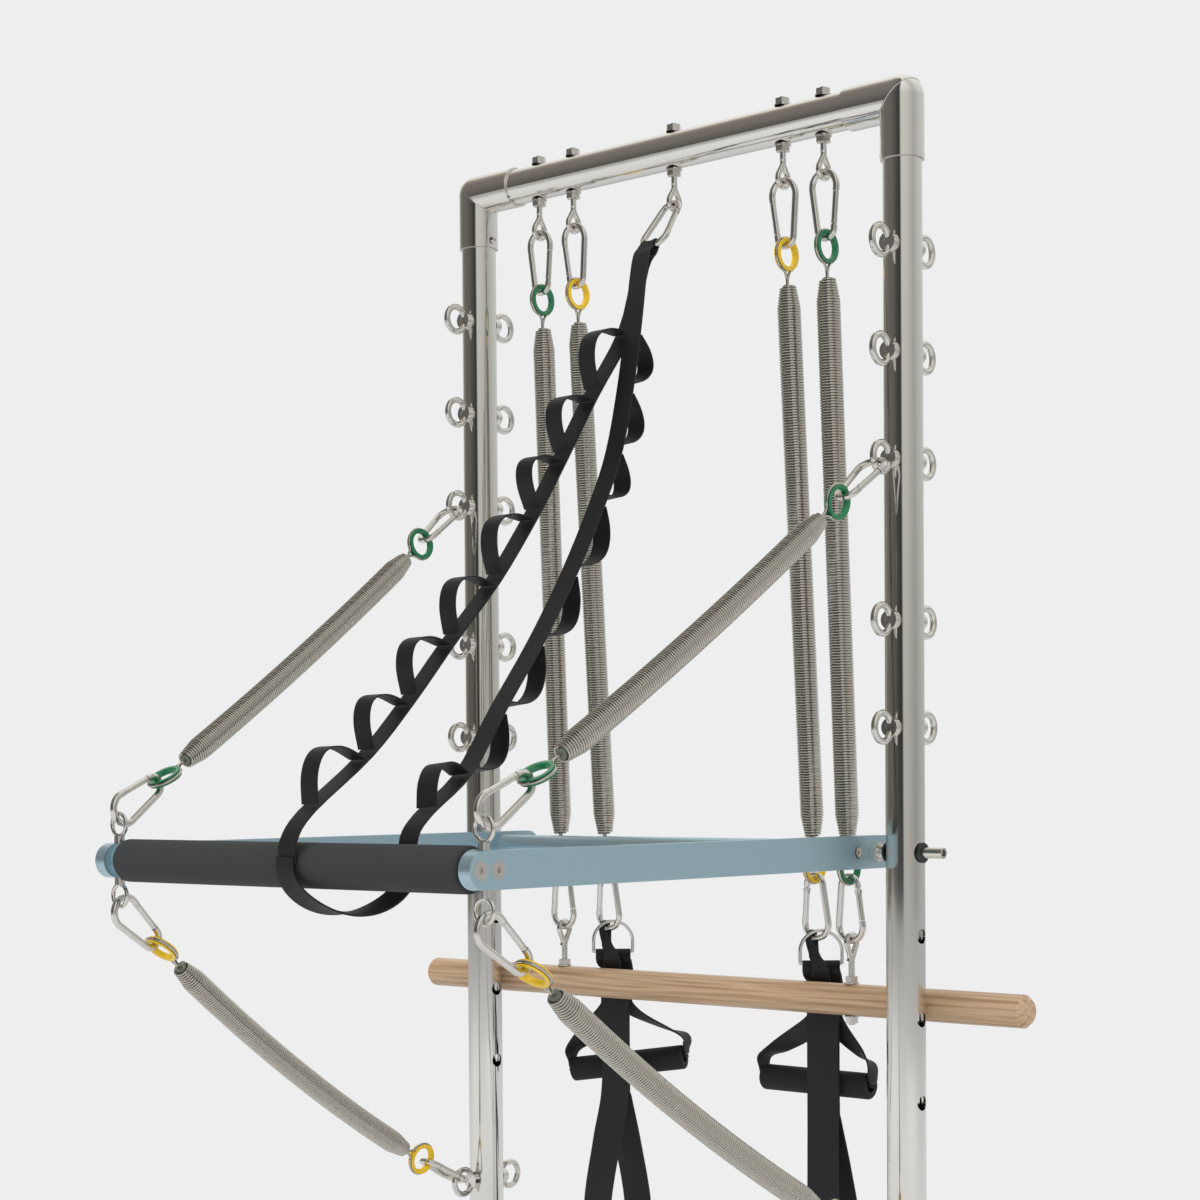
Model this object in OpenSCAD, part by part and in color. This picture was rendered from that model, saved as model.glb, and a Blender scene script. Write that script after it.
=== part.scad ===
// A pilates tower unit: a stainless tube frame with a sprung push-through bar,
// a wooden roll bar and two strap handles hung on long extension springs.
// Millimetres. X runs along the crossbar, -Y is the front, Z is up.
// The origin lies midway between the lower ends of the two posts.

/* [Frame tubes] */
// Outside diameter of the posts and the crossbar
tube_d = 42.4; // [38:0.1:50]
// Wall thickness of those tubes
tube_wall = 2; // [1.5:0.5:3]
// Distance between the centre lines of the two posts
post_spacing = 636; // [560:1:720]
// Height of the crossbar's centre line above the lower ends of the posts
crossbar_z = 1411; // [1380:1:1450]
// Length of each elbow leg, measured from the corner of the centre lines
elbow_leg = 67; // [64:1:72]
// Wall of the elbow sleeves around the tubes
elbow_wall = 2.7; // [2.5:0.1:3]

/* [Eye nuts and pivots] */
// Height of the push-through bar's pivot in the highest of four holes
pivot_z = 600; // [590:1:610]
// Distance between the pivot holes
pivot_pitch = 90; // [85:1:95]
// Diameter of the pivot holes and of the bush that fills the used one
pivot_hole_d = 16; // [15:0.5:17]
// Outside diameter of the ring of an eye nut
eye_nut_d = 38; // [36:0.5:40]
// Thickness of that ring
eye_nut_wire = 7.5; // [6:0.5:8]
// Diameter of the threaded stud that joins a front and a back eye nut
stud_d = 8; // [6:0.5:10]

/* [Push-through bar] */
// Distance from the pivot to the centre line of the front bar
arm_reach = 600; // [580:1:620]
// Height of the flat arms
arm_h = 36; // [34:1:38]
// Thickness of the flat arms
arm_t = 15; // [14:0.5:16]
// Distance from the middle of the unit to the inner face of an arm
arm_in = 261; // [255:0.5:265]
// Diameter of the tube inside the foam grip of the front bar
front_d = 38; // [36:0.5:40]
// Diameter of the foam grip of the front bar
foam_d = 45; // [43:0.5:48]
// Diameter of the rear cross tube between the arms
rear_d = 28; // [26:0.5:30]
// Distance of the rear cross tube in front of the pivot
rear_y = 28; // [27:0.5:32]
// Diameter of the pivot pins
pin_d = 12; // [11:0.5:13]
// Length of a pivot pin left standing outside its post
pin_out = 28; // [20:1:32]

/* [Carabiners and thimbles] */
// Length of a carabiner between the middles of its end wires
hook_len = 72.5; // [70:0.5:75]
// Wire thickness of the carabiners
hook_wire = 7.5; // [7:0.1:7.6]
// Wire radius line of the wide end
wide_r = 16.25; // [15:0.25:17]
// Wire radius line of the narrow end
narrow_r = 11; // [10.5:0.25:12]
// Hole of a thimble
thimble_hole = 27; // [26:0.5:28]
// Outside diameter of a thimble
thimble_d = 35; // [34.5:0.5:36]
// Width of a thimble
thimble_w = 7; // [6:0.5:7.5]
// Wire thickness of the loops that hold the thimbles
loop_wire = 3.2; // [3:0.1:3.5]

/* [Springs] */
// Outside diameter of the spring coils
coil_d = 27; // [25:0.5:28]
// Wire thickness of the springs
coil_wire = 3; // [2.5:0.1:3.2]
// Curls drawn along one spring
curls = 9; // [7:1:9]
// Sag of the two upper side springs
sag_up = 14; // [5:1:25]
// Sag of the two lower side springs
sag_low = 28; // [20:1:40]

/* [Roll bar] */
// Diameter of the wooden roll bar
dowel_d = 36; // [34:0.5:38]
// Length of the wooden roll bar
dowel_len = 896; // [870:2:920]
// Height of its centre line
dowel_z = 432; // [425:1:440]
// Distance of its spring eyes from the middle of the unit
roll_x = 214; // [210:1:220]
// Wire thickness of the bent eye bolts
eye_wire = 6.5; // [6:0.1:6.8]

/* [Handles] */
// Distance of the handle springs from the middle of the unit
hand_x = 158; // [150:1:165]
// Width of the handle webbing
web_w = 44; // [40:1:46]
// Diameter of a foam hand grip
grip_d = 30; // [28:0.5:32]
// Length of a foam hand grip
grip_len = 150; // [140:1:160]

/* [Hidden] */
$fn = 48;

tube_r = tube_d / 2;
tube_in_r = tube_r - tube_wall;
post_x = post_spacing / 2;
// Fits: a sliding fit inside one body, and the air between bodies that move
fit = 0.15;
air = 0.3;
sleeve_r = tube_r + elbow_wall;
post_top = crossbar_z - tube_r - 2.8;
bar_end = post_x - tube_r - 2.8;
screw_z = crossbar_z - elbow_leg + 9;
// Plain lower end that goes into the bench's socket, up to a fine marking groove
seat_depth = 150;

// Heights of the six pairs of eye nuts on each post
eye_heights = [180, 735, 850, 1022.5, 1137.5, 1252.5];
nut_ring_r = (eye_nut_d - eye_nut_wire) / 2;
nut_y = tube_r + 0.8 + eye_nut_d / 2 + 0.5;
nut_boss_r = 10;
nut_boss_out = nut_y - nut_ring_r + eye_nut_wire / 2;
nut_hole_r = nut_ring_r - eye_nut_wire / 2;
side_post_low = 180;
side_post_high = 1022.5;

// Eyes hung from the crossbar: outer pair, inner pair and the middle one
bar_eyes = [-roll_x, -hand_x, 0, hand_x, roll_x];
eye_r = 9.25;
eye_hole_r = eye_r - eye_wire / 2;
top_eye_z = crossbar_z - 59.5;
neck_z = 15.5;
bolt_r = 3.5;
nut_af = 15;
nut_h = 6.5;
washer_r = 9.5;
washer_t = 1.5;

// Carabiner outline: two arcs joined by straight legs
hook_r = hook_wire / 2;
hook_c = hook_len - wide_r - narrow_r;
lean = asin((wide_r - narrow_r) / hook_c);
leg_len = hook_c * cos(lean);
gate_r = 3.4;
gate_from = 7.5;
gate_to = leg_len - 5;
tongue_t = 2.2;
rivet_r = 1.1;

// Where the wire of a carabiner lies inside an eye or a thimble
eye_seat = eye_hole_r - hook_r - 0.2;
nut_seat = nut_hole_r - hook_r - 0.2;
thimble_seat = thimble_hole / 2 - hook_r - 0.6;
thimble_ring_r = thimble_d / 2 + loop_wire / 2 - 0.4;
neck_len = 17;
plug_len = 9;
coil_r = (coil_d - coil_wire) / 2;
coil_end_r = 8;
plug_r = coil_end_r - coil_wire / 2 - 0.4;

// Push-through bar
bar_x = arm_in + arm_t / 2;
arm_out = arm_in + arm_t;
arm_eye_r = 11.75;
arm_eye_wire = 4.5;
arm_eye_rise = arm_h / 2 + 5.5 + arm_eye_r + arm_eye_wire / 2;
// From the wire of an arm eye back to the wire of the carabiner round it
arm_eye_seat = -hook_r - arm_eye_wire / 2 - 0.2;
screw_gap = 11.35;

// Side springs run from the post eye nuts to the eyes on the arms
function unit(v) = v / norm(v);
function mirror_x(s, p) = [s * p[0], p[1], p[2]];
up_a = [post_x, -nut_y, side_post_high];
up_b = [bar_x, -arm_reach, pivot_z + arm_eye_rise + arm_eye_r];
low_a = [post_x, -nut_y, side_post_low];
low_b = [bar_x, -arm_reach, pivot_z - arm_eye_rise - arm_eye_r];
// Directions in which the chains leave their eyes, with the sag of the spring in them
end_dip = 3.25;
coil_dip = 0.4;
up_dir_a = unit(up_b - up_a + [0, 0, -end_dip * sag_up]);
up_dir_b = unit(up_a - up_b + [0, 0, -end_dip * sag_up]);
low_dir_a = unit(low_b - low_a + [0, 0, -end_dip * sag_low]);
low_dir_b = unit(low_a - low_b + [0, 0, -end_dip * sag_low]);
// From an eye's centre to the far wire of its carabiner, its thimble and its coil
function reach_far(seat) = seat + hook_len;
function reach_thimble(seat) = reach_far(seat) + thimble_seat;
function reach_coil(seat) = reach_thimble(seat) + thimble_ring_r + neck_len;

// The springs that hang from the crossbar lean back
roll_top = [roll_x, 0, top_eye_z];
dowel_y = tube_r + air + 0.2 + dowel_d / 2;
low_eye_z = dowel_z + 64.4;
roll_low = [roll_x + 4, dowel_y, low_eye_z];
roll_dir = unit(roll_low - roll_top);
hand_top = [hand_x, 0, top_eye_z];
// Lowest wire of the handle carabiners
hand_low = [hand_x, 57, 498.3];
// D-rings of the handles: radius line of the bow, wire, turn about Z, and how far to the
// right of its carabiner's middle the ring hangs
ring_r = 24;
ring_wire = 4;
ring_turn = 41.5;
ring_shift = 5;
ring_high = 37.2;
ring_top_z = hand_low[2] + hook_r + ring_wire / 2 + 2.9;
ring_bar_z = ring_top_z - ring_high;
function ring_x(s) = s * hand_x + ring_shift;
hand_dir = unit(hand_low - hand_top);

function lerp(a, b, t) = a + (b - a) * t;

// Shapes that several pieces share

// Puts children whose -Z axis is the pull of a chain along a direction, with their
// local X axis square to it and as near as it can be to the given side direction
module along(at, dir, side) {
  z = -unit(dir);
  y = unit(cross(z, side));
  x = cross(y, z);
  multmatrix([[x[0], y[0], z[0], at[0]], [x[1], y[1], z[1], at[1]], [x[2], y[2], z[2], at[2]]])
    children();
}

// Round wire along a list of points that lie in the XZ plane, with 8 sides
function around(c, r, from, to, n) =
  [for (i = [0:n]) let (q = from + (to - from) * i / n) [c[0] + r * cos(q), 0, c[1] + r * sin(q)]];
module wire(path, r) {
  n = len(path);
  points = [for (i = [0:n - 1])
    let (t = unit(path[min(i + 1, n - 1)] - path[max(i - 1, 0)]), v = cross(t, [0, 1, 0]))
    for (k = [0:7]) path[i] + r * ([0, 1, 0] * cos(45 * k + 22.5) + v * sin(45 * k + 22.5))];
  faces = concat([[for (k = [0:7]) k]],
    [for (i = [0:n - 2], k = [0:7]) let (j = (k + 1) % 8)
      [i * 8 + k, (i + 1) * 8 + j, i * 8 + j]],
    [for (i = [0:n - 2], k = [0:7]) let (j = (k + 1) % 8)
      [i * 8 + k, (i + 1) * 8 + k, (i + 1) * 8 + j]],
    [[for (k = [7:-1:0]) (n - 1) * 8 + k]]);
  polyhedron(points, faces, convexity = 6);
}

// Carabiner body in the XZ plane: the middle of the wire at its wide end is the origin
// and the narrow end lies hook_len below it; the open leg is on the +X side
leg_foot = [wide_r * cos(lean), wide_r * sin(lean)];
function on_leg(t) = [leg_foot[0] - t * sin(lean), 0, leg_foot[1] + t * cos(lean)];
module hook_body() {
  translate([0, 0, -wide_r]) rotate([180, 0, 0]) union() {
    wire(concat([on_leg(leg_len - gate_to)],
      around([0, 0], wide_r, lean, -180 - lean, 12),
      around([0, hook_c], narrow_r, 180 - lean, lean, 9),
      [on_leg(leg_len - gate_from + hook_r + air)]), hook_r);
    hook_leg() {
      translate([-2.1, -tongue_t / 2, leg_len - gate_from - 2.1])
        cube([4.2, tongue_t, gate_from + 1]);
      translate([0, 0, leg_len - gate_from]) rotate([90, 0, 0])
        cylinder(r = rivet_r, h = 2 * hook_r - 0.6, center = true, $fn = 12);
    }
  }
}

// The straight leg on the gate's side, from the wide end towards the narrow end
module hook_leg() {
  translate([wide_r * cos(lean), 0, wide_r * sin(lean)]) rotate([0, -lean, 0]) children();
}

// Gate in its closed place, in the same frame as the body
module hook_gate() {
  translate([0, 0, -wide_r]) rotate([180, 0, 0]) hook_leg() difference() {
    union() {
      translate([0, 0, leg_len - gate_to + air + 0.1])
        cylinder(r = gate_r, h = gate_to - gate_from - air - 0.1, $fn = 32);
      translate([0, 0, leg_len - gate_from]) rotate([90, 0, 0])
        cylinder(r = gate_r, h = 2 * gate_r - 1, center = true, $fn = 32);
    }
    translate([-gate_r - 1, -tongue_t / 2 - air, leg_len - gate_from - gate_r - air])
      cube([2 * gate_r + 2, tongue_t + 2 * air, 2 * gate_r + 4]);
    translate([0, 0, leg_len - gate_from]) rotate([90, 0, 0])
      cylinder(r = rivet_r + air, h = 2 * gate_r + 2, center = true, $fn = 24);
  }
}

// Plastic thimble with a groove for the wire loop, standing in the XZ plane
module thimble() {
  rotate([90, 0, 0]) rotate_extrude($fn = 64) polygon([
    [thimble_hole / 2, -thimble_w / 2 + 1.4], [thimble_hole / 2 + 1.2, -thimble_w / 2],
    [thimble_d / 2 + 1, -thimble_w / 2], [thimble_d / 2 + 1, -loop_wire / 2 - 0.5],
    [thimble_ring_r - loop_wire / 2 - 0.15, -loop_wire / 2 - 0.15],
    [thimble_ring_r - loop_wire / 2 - 0.15, loop_wire / 2 + 0.15],
    [thimble_d / 2 + 1, loop_wire / 2 + 0.5],
    [thimble_d / 2 + 1, thimble_w / 2], [thimble_hole / 2 + 1.2, thimble_w / 2],
    [thimble_hole / 2, thimble_w / 2 - 1.4]]);
}

// Swivel eye of a spring: wire loop round the thimble, neck and the plug that holds it.
// The thimble's centre is the origin and the coil lies below
module swivel() {
  rotate([90, 0, 0]) rotate_extrude($fn = 64) translate([thimble_ring_r, 0])
    circle(d = loop_wire, $fn = 16);
  translate([0, 0, -thimble_ring_r - neck_len - 2])
    cylinder(d = loop_wire, h = neck_len + 2, $fn = 16);
  translate([0, 0, -thimble_ring_r - neck_len - plug_len])
    cylinder(r = plug_r, h = plug_len, $fn = 24);
}

// Bent wire eye with its shank upwards; the centre of the loop is the origin
module wire_eye(shank) {
  a = acos(eye_r / neck_z);
  union() {
    wire(concat([[0.6, 0, neck_z]], around([0, 0], eye_r, 90 - a, -270 + a, 16),
      [[-0.6, 0, neck_z]]), eye_wire / 2);
    translate([0, 0, neck_z - 3.7]) cylinder(r = bolt_r, h = shank - neck_z + 3.7, $fn = 24);
  }
}

// Hexagon nut with its bore, standing on the origin
module hex_nut(across, high, bore_r) {
  difference() {
    cylinder(d = across / cos(30), h = high, $fn = 6);
    translate([0, 0, -1]) cylinder(r = bore_r, h = high + 2, $fn = 32);
  }
}

// Helical wire along a path: function values give the path point at s = 0..1
function sag_point(a, b, sag, s) = lerp(a, b, s) + [0, 0, -4 * sag * s * (1 - s)];
function sag_dir(a, b, sag, s) = unit(b - a + [0, 0, -4 * sag * (1 - 2 * s)]);
function taper(s, len) =
  coil_end_r + (coil_r - coil_end_r) * min(1, min(s, 1 - s) * len / 24);
function coil_point(a, b, sag, s) =
  let (t = sag_dir(a, b, sag, s), u = unit(cross(t, [1, 0, 0])), v = cross(t, u),
       q = 360 * curls * s, r = taper(s, norm(b - a)))
  sag_point(a, b, sag, s) + u * r * cos(q) + v * r * sin(q);

module coil(a, b, sag) {
  rings = 8 * curls;
  w = coil_wire / 2;
  // Both ends run straight for one wire thickness
  mid = [for (i = [0:rings]) coil_point(a, b, sag, i / rings)];
  first = mid[0] - unit(mid[1] - mid[0]) * coil_wire;
  last = mid[rings] + unit(mid[rings] - mid[rings - 1]) * coil_wire;
  path = concat([first], mid, [last]);
  n = len(path);
  points = [for (i = [0:n - 1])
    let (t = unit(path[min(i + 1, n - 1)] - path[max(i - 1, 0)]),
         axis = unit(b - a), u = unit(cross(t, axis)), v = cross(t, u))
    for (k = [0:5]) path[i] + w * (u * cos(60 * k) + v * sin(60 * k))];
  faces = concat(
    [[0, 1, 2, 3, 4, 5]],
    [for (i = [0:n - 2], k = [0:5]) let (j = (k + 1) % 6)
      [i * 6 + k, (i + 1) * 6 + j, i * 6 + j]],
    [for (i = [0:n - 2], k = [0:5]) let (j = (k + 1) % 6)
      [i * 6 + k, (i + 1) * 6 + k, (i + 1) * 6 + j]],
    [[for (k = [5:-1:0]) (n - 1) * 6 + k]]);
  // Least distance between the wire's skins on neighbouring curls
  gap = min([for (i = [0:rings - 5], j = [i + 5:min(i + 11, rings)])
    norm(mid[i] - mid[j]) - coil_wire]);
  echo(str("least coil gap ", gap));
  polyhedron(points, faces, convexity = 10);
}

// Stations of webbing with n - 1 more between each two, so that a twist bends smoothly
function finer(st, n) = concat(
  [for (i = [0:len(st) - 2], k = [0:n - 1]) lerp(st[i], st[i + 1], k / n)],
  [st[len(st) - 1]]);

// Flat webbing: stations are [point, direction of the width, width, thickness]
module ribbon(st) {
  n = len(st);
  points = [for (i = [0:n - 1])
    let (t = unit(st[min(i + 1, n - 1)][0] - st[max(i - 1, 0)][0]),
         s0 = st[i][1], s = unit(s0 - t * (t * s0)), m = cross(s, t),
         h = st[i][2] / 2, e = st[i][3] / 2, p = st[i][0])
    each [p - s * h - m * e, p + s * h - m * e, p + s * h + m * e, p - s * h + m * e]];
  faces = concat([[3, 2, 1, 0]],
    [for (i = [0:n - 2], k = [0:3]) let (j = (k + 1) % 4)
      [i * 4 + k, i * 4 + j, (i + 1) * 4 + j]],
    [for (i = [0:n - 2], k = [0:3]) let (j = (k + 1) % 4)
      [i * 4 + k, (i + 1) * 4 + j, (i + 1) * 4 + k]],
    [[for (k = [0:3]) (n - 1) * 4 + k]]);
  polyhedron(points, faces, convexity = 6);
}

// Frame

module post(s) {
  translate([s * post_x, 0, 0]) difference() {
    cylinder(r = tube_r, h = post_top, $fn = 96);
    translate([0, 0, -1]) cylinder(r = tube_in_r, h = post_top + 2, $fn = 96);
    for (z = eye_heights) translate([0, 0, z]) rotate([90, 0, 0])
      cylinder(d = stud_d + 1, h = tube_d + 2, center = true);
    for (k = [0:3]) translate([0, 0, pivot_z - k * pivot_pitch]) rotate([0, 90, 0])
      cylinder(d = pivot_hole_d, h = tube_d + 2, center = true);
    translate([0, 0, seat_depth]) difference() {
      cylinder(r = tube_r + 1, h = 1.5, $fn = 96);
      translate([0, 0, -1]) cylinder(r = tube_r - 0.4, h = 3.5, $fn = 96);
    }
  }
}
module left_post() { color("silver") post(-1); }
module right_post() { color("silver") post(1); }

module crossbar() {
  color("silver") translate([0, 0, crossbar_z]) difference() {
    rotate([0, 90, 0]) cylinder(r = tube_r, h = 2 * bar_end, center = true, $fn = 96);
    rotate([0, 90, 0]) cylinder(r = tube_in_r, h = 2 * bar_end + 2, center = true, $fn = 96);
    for (x = bar_eyes) translate([x, 0, 0])
      cylinder(r = bolt_r + 0.5, h = tube_d + 2, center = true);
  }
}

// Mitred sleeve: two legs, a round outer corner, and a hole for the grub screw
module elbow(s) {
  translate([s * post_x, 0, crossbar_z]) difference() {
    union() {
      translate([0, 0, -elbow_leg]) cylinder(r = sleeve_r, h = elbow_leg, $fn = 96);
      rotate([0, -s * 90, 0]) cylinder(r = sleeve_r, h = elbow_leg, $fn = 96);
      sphere(r = sleeve_r, $fn = 96);
    }
    translate([0, 0, -elbow_leg - 1]) cylinder(r = tube_r + fit, h = elbow_leg + 1, $fn = 96);
    rotate([0, -s * 90, 0]) cylinder(r = tube_r + fit, h = elbow_leg + 1, $fn = 96);
    sphere(r = tube_r + fit, $fn = 96);
    translate([0, 0, screw_z - crossbar_z]) rotate([0, -s * 90, 0])
      cylinder(r = 3 + fit, h = sleeve_r + 2, $fn = 32);
  }
}
module left_elbow() { color("silver") elbow(-1); }
module right_elbow() { color("silver") elbow(1); }

module elbow_screws() {
  color("dimgray") for (s = [-1, 1])
    translate([s * (post_x - tube_r - fit), 0, screw_z]) rotate([0, -s * 90, 0]) difference() {
      union() {
        cylinder(r = 3, h = 4, $fn = 32);
        translate([0, 0, 3.6]) cylinder(r1 = 4.5, r2 = 3.2, h = 2.4, $fn = 32);
      }
      translate([0, 0, 3.4]) cylinder(d = 3.4, h = 3, $fn = 6);
    }
}

module eye_nut() {
  difference() {
    union() {
      translate([0, -nut_y, 0]) rotate([0, 90, 0]) rotate_extrude($fn = 64)
        translate([nut_ring_r, 0]) circle(d = eye_nut_wire, $fn = 32);
      translate([0, -tube_r - fit / 2, 0]) rotate([90, 0, 0])
        cylinder(r = nut_boss_r, h = nut_boss_out - tube_r - fit / 2, $fn = 64);
    }
    translate([0, -tube_r + 1, 0]) rotate([90, 0, 0])
      cylinder(d = stud_d + 2 * fit, h = nut_boss_out - tube_r + 2, $fn = 48);
  }
}
module eye_nuts(s) {
  for (z = eye_heights, b = [0, 1]) translate([s * post_x, 0, z]) rotate([0, 0, b * 180])
    eye_nut();
}
module left_eye_nuts() { color("silver") eye_nuts(-1); }
module right_eye_nuts() { color("silver") eye_nuts(1); }

module eye_nut_studs() {
  color("gray") for (s = [-1, 1], z = eye_heights) translate([s * post_x, 0, z])
    rotate([90, 0, 0]) cylinder(d = stud_d, h = 2 * nut_boss_out - 1, center = true, $fn = 48);
}

module crossbar_eyes() {
  color("silver") for (x = bar_eyes) translate([x, 0, top_eye_z]) rotate([0, 0, 90])
    wire_eye(crossbar_z + tube_r + 10 - top_eye_z);
}

module crossbar_nuts() {
  color("silver") for (x = bar_eyes) translate([x, 0, crossbar_z]) {
    translate([0, 0, tube_r + 0.1 + washer_t]) hex_nut(nut_af, nut_h, bolt_r + fit);
    translate([0, 0, -tube_r - 0.1 - washer_t - nut_h]) hex_nut(nut_af, nut_h, bolt_r + fit);
  }
}

module crossbar_washers() {
  color("silver") for (x = bar_eyes, up = [0, 1]) translate([x, 0, crossbar_z])
    rotate([up * 180, 0, 0]) translate([0, 0, tube_r + 0.05]) difference() {
      cylinder(r = washer_r, h = washer_t, $fn = 48);
      translate([0, 0, -1]) cylinder(r = bolt_r + 0.4, h = washer_t + 2, $fn = 32);
    }
}

// Flanged bush through the used hole of each post
module pivot_bushes() {
  color("black") for (s = [-1, 1], q = [-1, 1])
    translate([s * post_x, 0, pivot_z]) rotate([0, q * 90, 0]) difference() {
      union() {
        translate([0, 0, 0.05]) cylinder(d = pivot_hole_d - 0.2, h = tube_r, $fn = 48);
        translate([0, 0, tube_r + 0.05]) cylinder(d = pivot_hole_d + 6, h = 2.4, $fn = 48);
      }
      translate([0, 0, -1]) cylinder(d = pin_d + 2 * air, h = tube_r + 6, $fn = 48);
    }
}

module post_hooks() {
  color("silver") for (s = [-1, 1]) {
    along(mirror_x(s, up_a + up_dir_a * nut_seat), mirror_x(s, up_dir_a), [1, 0, 0]) {
      hook_body();
      hook_gate();
    }
    along(mirror_x(s, low_a + low_dir_a * nut_seat), mirror_x(s, low_dir_a), [1, 0, 0]) {
      hook_body();
      hook_gate();
    }
  }
}
module green_post_thimbles() {
  color("green") for (s = [-1, 1])
    along(mirror_x(s, up_a + up_dir_a * reach_thimble(nut_seat)), mirror_x(s, up_dir_a),
      [0, 1, 0]) thimble();
}
module yellow_post_thimbles() {
  color("gold") for (s = [-1, 1])
    along(mirror_x(s, low_a + low_dir_a * reach_thimble(nut_seat)), mirror_x(s, low_dir_a),
      [0, 1, 0]) thimble();
}

// The safety strap's carabiner leans along the strap, with its wide end on the webbing
safe_dir = unit([0.02, -0.62, -0.785]);
safe_top = [0, 0, top_eye_z] + safe_dir * eye_seat;
safe_far = safe_top + safe_dir * hook_len;
module safety_hook() {
  color("silver") along(safe_far, -safe_dir, [1, 0, 0]) hook_body();
}
module safety_gate() {
  color("silver") along(safe_far, -safe_dir, [1, 0, 0]) hook_gate();
}

// Tack points of the two hanging strands of the safety strap
left_tacks = [[4, -92, 1190], [7, -157, 1107], [9, -210, 1033], [11, -259, 967],
  [13, -322, 892], [16, -391, 826], [19, -455, 762], [21, -517, 706], [25, -598, 652]];
right_tacks = [[31, -112, 1184], [35, -130, 1116], [42, -157, 1045], [50, -193, 986],
  [63, -254, 905], [80, -325, 828], [99, -403, 755], [116, -471, 689], [138, -548, 650]];
strap_w = 25;
strap_t = 2;
side_x = [1, 0, 0];
module strap_loop(a, b, away, high) {
  chord = unit(b - a);
  flat = unit(cross(chord, side_x));
  out = flat * sign(flat * away);
  side = unit(side_x - chord * (chord * side_x));
  ribbon([for (k = [0:6]) let (t = k / 6)
    [lerp(a, b, 0.09 + 0.82 * t) + out * (3 + high * pow(sin(180 * t), 0.8)), side,
     strap_w - 1.2, strap_t - 0.4]]);
}
// Half turn of the band under the front bar, in sixteenths, and its two radii
under_y = 28;
under_z = 44;
function under_bar(i) = let (u = i / 16, m = u * u * (3 - 2 * u))
  [lerp(141, 27, m), -arm_reach + under_y * cos(180 * u), pivot_z - under_z * sin(180 * u)];

module safety_strap() {
  up = unit([0, -0.785, 0.62]);
  fold = hook_r + strap_t / 2 + 0.25;
  // The wide end of the carabiner curves up beside the middle of the fold
  inner = fold + 1.6;
  color([0.1, 0.1, 0.1]) union() {
    // One closed band: up the left strand, over the carabiner, down the right strand,
    // behind and under the front bar and back to the left strand, where its ends are sewn
    ribbon(concat(
      [[[27, -624.2, 601], side_x, strap_w, strap_t],
       [[26, -622, 624], side_x, strap_w, strap_t]],
      [for (i = [len(left_tacks) - 1:-1:0]) [left_tacks[i], side_x, strap_w, strap_t]],
      [[safe_far + safe_dir * 34 - up * 5, side_x, 20, strap_t],
       [safe_far - up * fold, side_x, 12.4, strap_t],
       [safe_far - up * fold * 0.8 - safe_dir * inner * 0.75, side_x, 12, strap_t],
       [safe_far - safe_dir * inner, side_x, 12, strap_t],
       [safe_far + up * fold * 0.8 - safe_dir * inner * 0.75, side_x, 12, strap_t],
       [safe_far + up * fold, side_x, 12.4, strap_t],
       [safe_far + safe_dir * 34 + up * 6 + [6, 0, 0], side_x, 20, strap_t]],
      [for (p = right_tacks) [p, side_x, strap_w, strap_t]],
      [[[141, -571, 628], side_x, strap_w, strap_t]],
      [for (i = [0:16]) let (n = unit([0, cos(i * 11.25) / under_y, -sin(i * 11.25) / under_z]),
           t = under_bar(i + 0.1) - under_bar(i - 0.1))
        [under_bar(i), cross(unit(t), n), strap_w, strap_t]],
      [[[27, -arm_reach - under_y + 0.6, pivot_z + 9], side_x, strap_w, strap_t]]));
    for (i = [0:len(left_tacks) - 2])
      strap_loop(left_tacks[i], left_tacks[i + 1], unit([0, -0.8, 0.6]), 36);
    for (i = [0:len(right_tacks) - 2])
      strap_loop(right_tacks[i], right_tacks[i + 1], unit([0, 0.8, 0.6]), 26);
  }
}

// Push-through bar

module arm(s) {
  difference() {
    translate([s * arm_in, 0, pivot_z]) rotate([0, s * 90, 0]) linear_extrude(arm_t) union() {
      translate([0, -arm_reach - 8]) circle(d = arm_h, $fn = 96);
      translate([0, 22]) circle(d = arm_h, $fn = 96);
      translate([-arm_h / 2, -arm_reach - 8]) square([arm_h, arm_reach + 30]);
    }
    translate([0, 0, pivot_z]) rotate([0, s * 90, 0]) {
      // Pivot pin, rear tube's screw and the front bar's two screws
      cylinder(d = pin_d + fit, h = arm_out + 1);
      translate([0, -rear_y, 0]) cylinder(r = 4 + fit, h = arm_out + 1);
      translate([0, -rear_y, arm_out - 4]) cylinder(r = 6.6, h = 5);
      for (q = [-1, 1]) translate([0, -arm_reach + q * screw_gap, 0]) {
        cylinder(r = 4 + fit, h = arm_out + 1);
        translate([0, 0, arm_out - 5]) cylinder(r1 = 4 + fit, r2 = 9.3, h = 5.05);
      }
    }
    translate([s * bar_x, -arm_reach, pivot_z])
      cylinder(r = 2.75 + fit, h = arm_h + 4, center = true);
  }
}
module left_arm() { color("lightsteelblue") arm(-1); }
module right_arm() { color("lightsteelblue") arm(1); }

// Front tube with its two tapped end plugs in one piece with it
module front_tube() {
  color("lightsteelblue") translate([0, -arm_reach, pivot_z]) difference() {
    rotate([0, 90, 0]) cylinder(d = front_d, h = 2 * arm_in - 0.1, center = true, $fn = 96);
    rotate([0, 90, 0]) cylinder(d = front_d - 4, h = 2 * arm_in - 60, center = true, $fn = 96);
    for (s = [-1, 1], q = [-1, 1]) translate([s * (arm_in + 1), q * screw_gap, 0])
      rotate([0, -s * 90, 0]) cylinder(r = 4 + fit, h = 22);
  }
}

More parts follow.
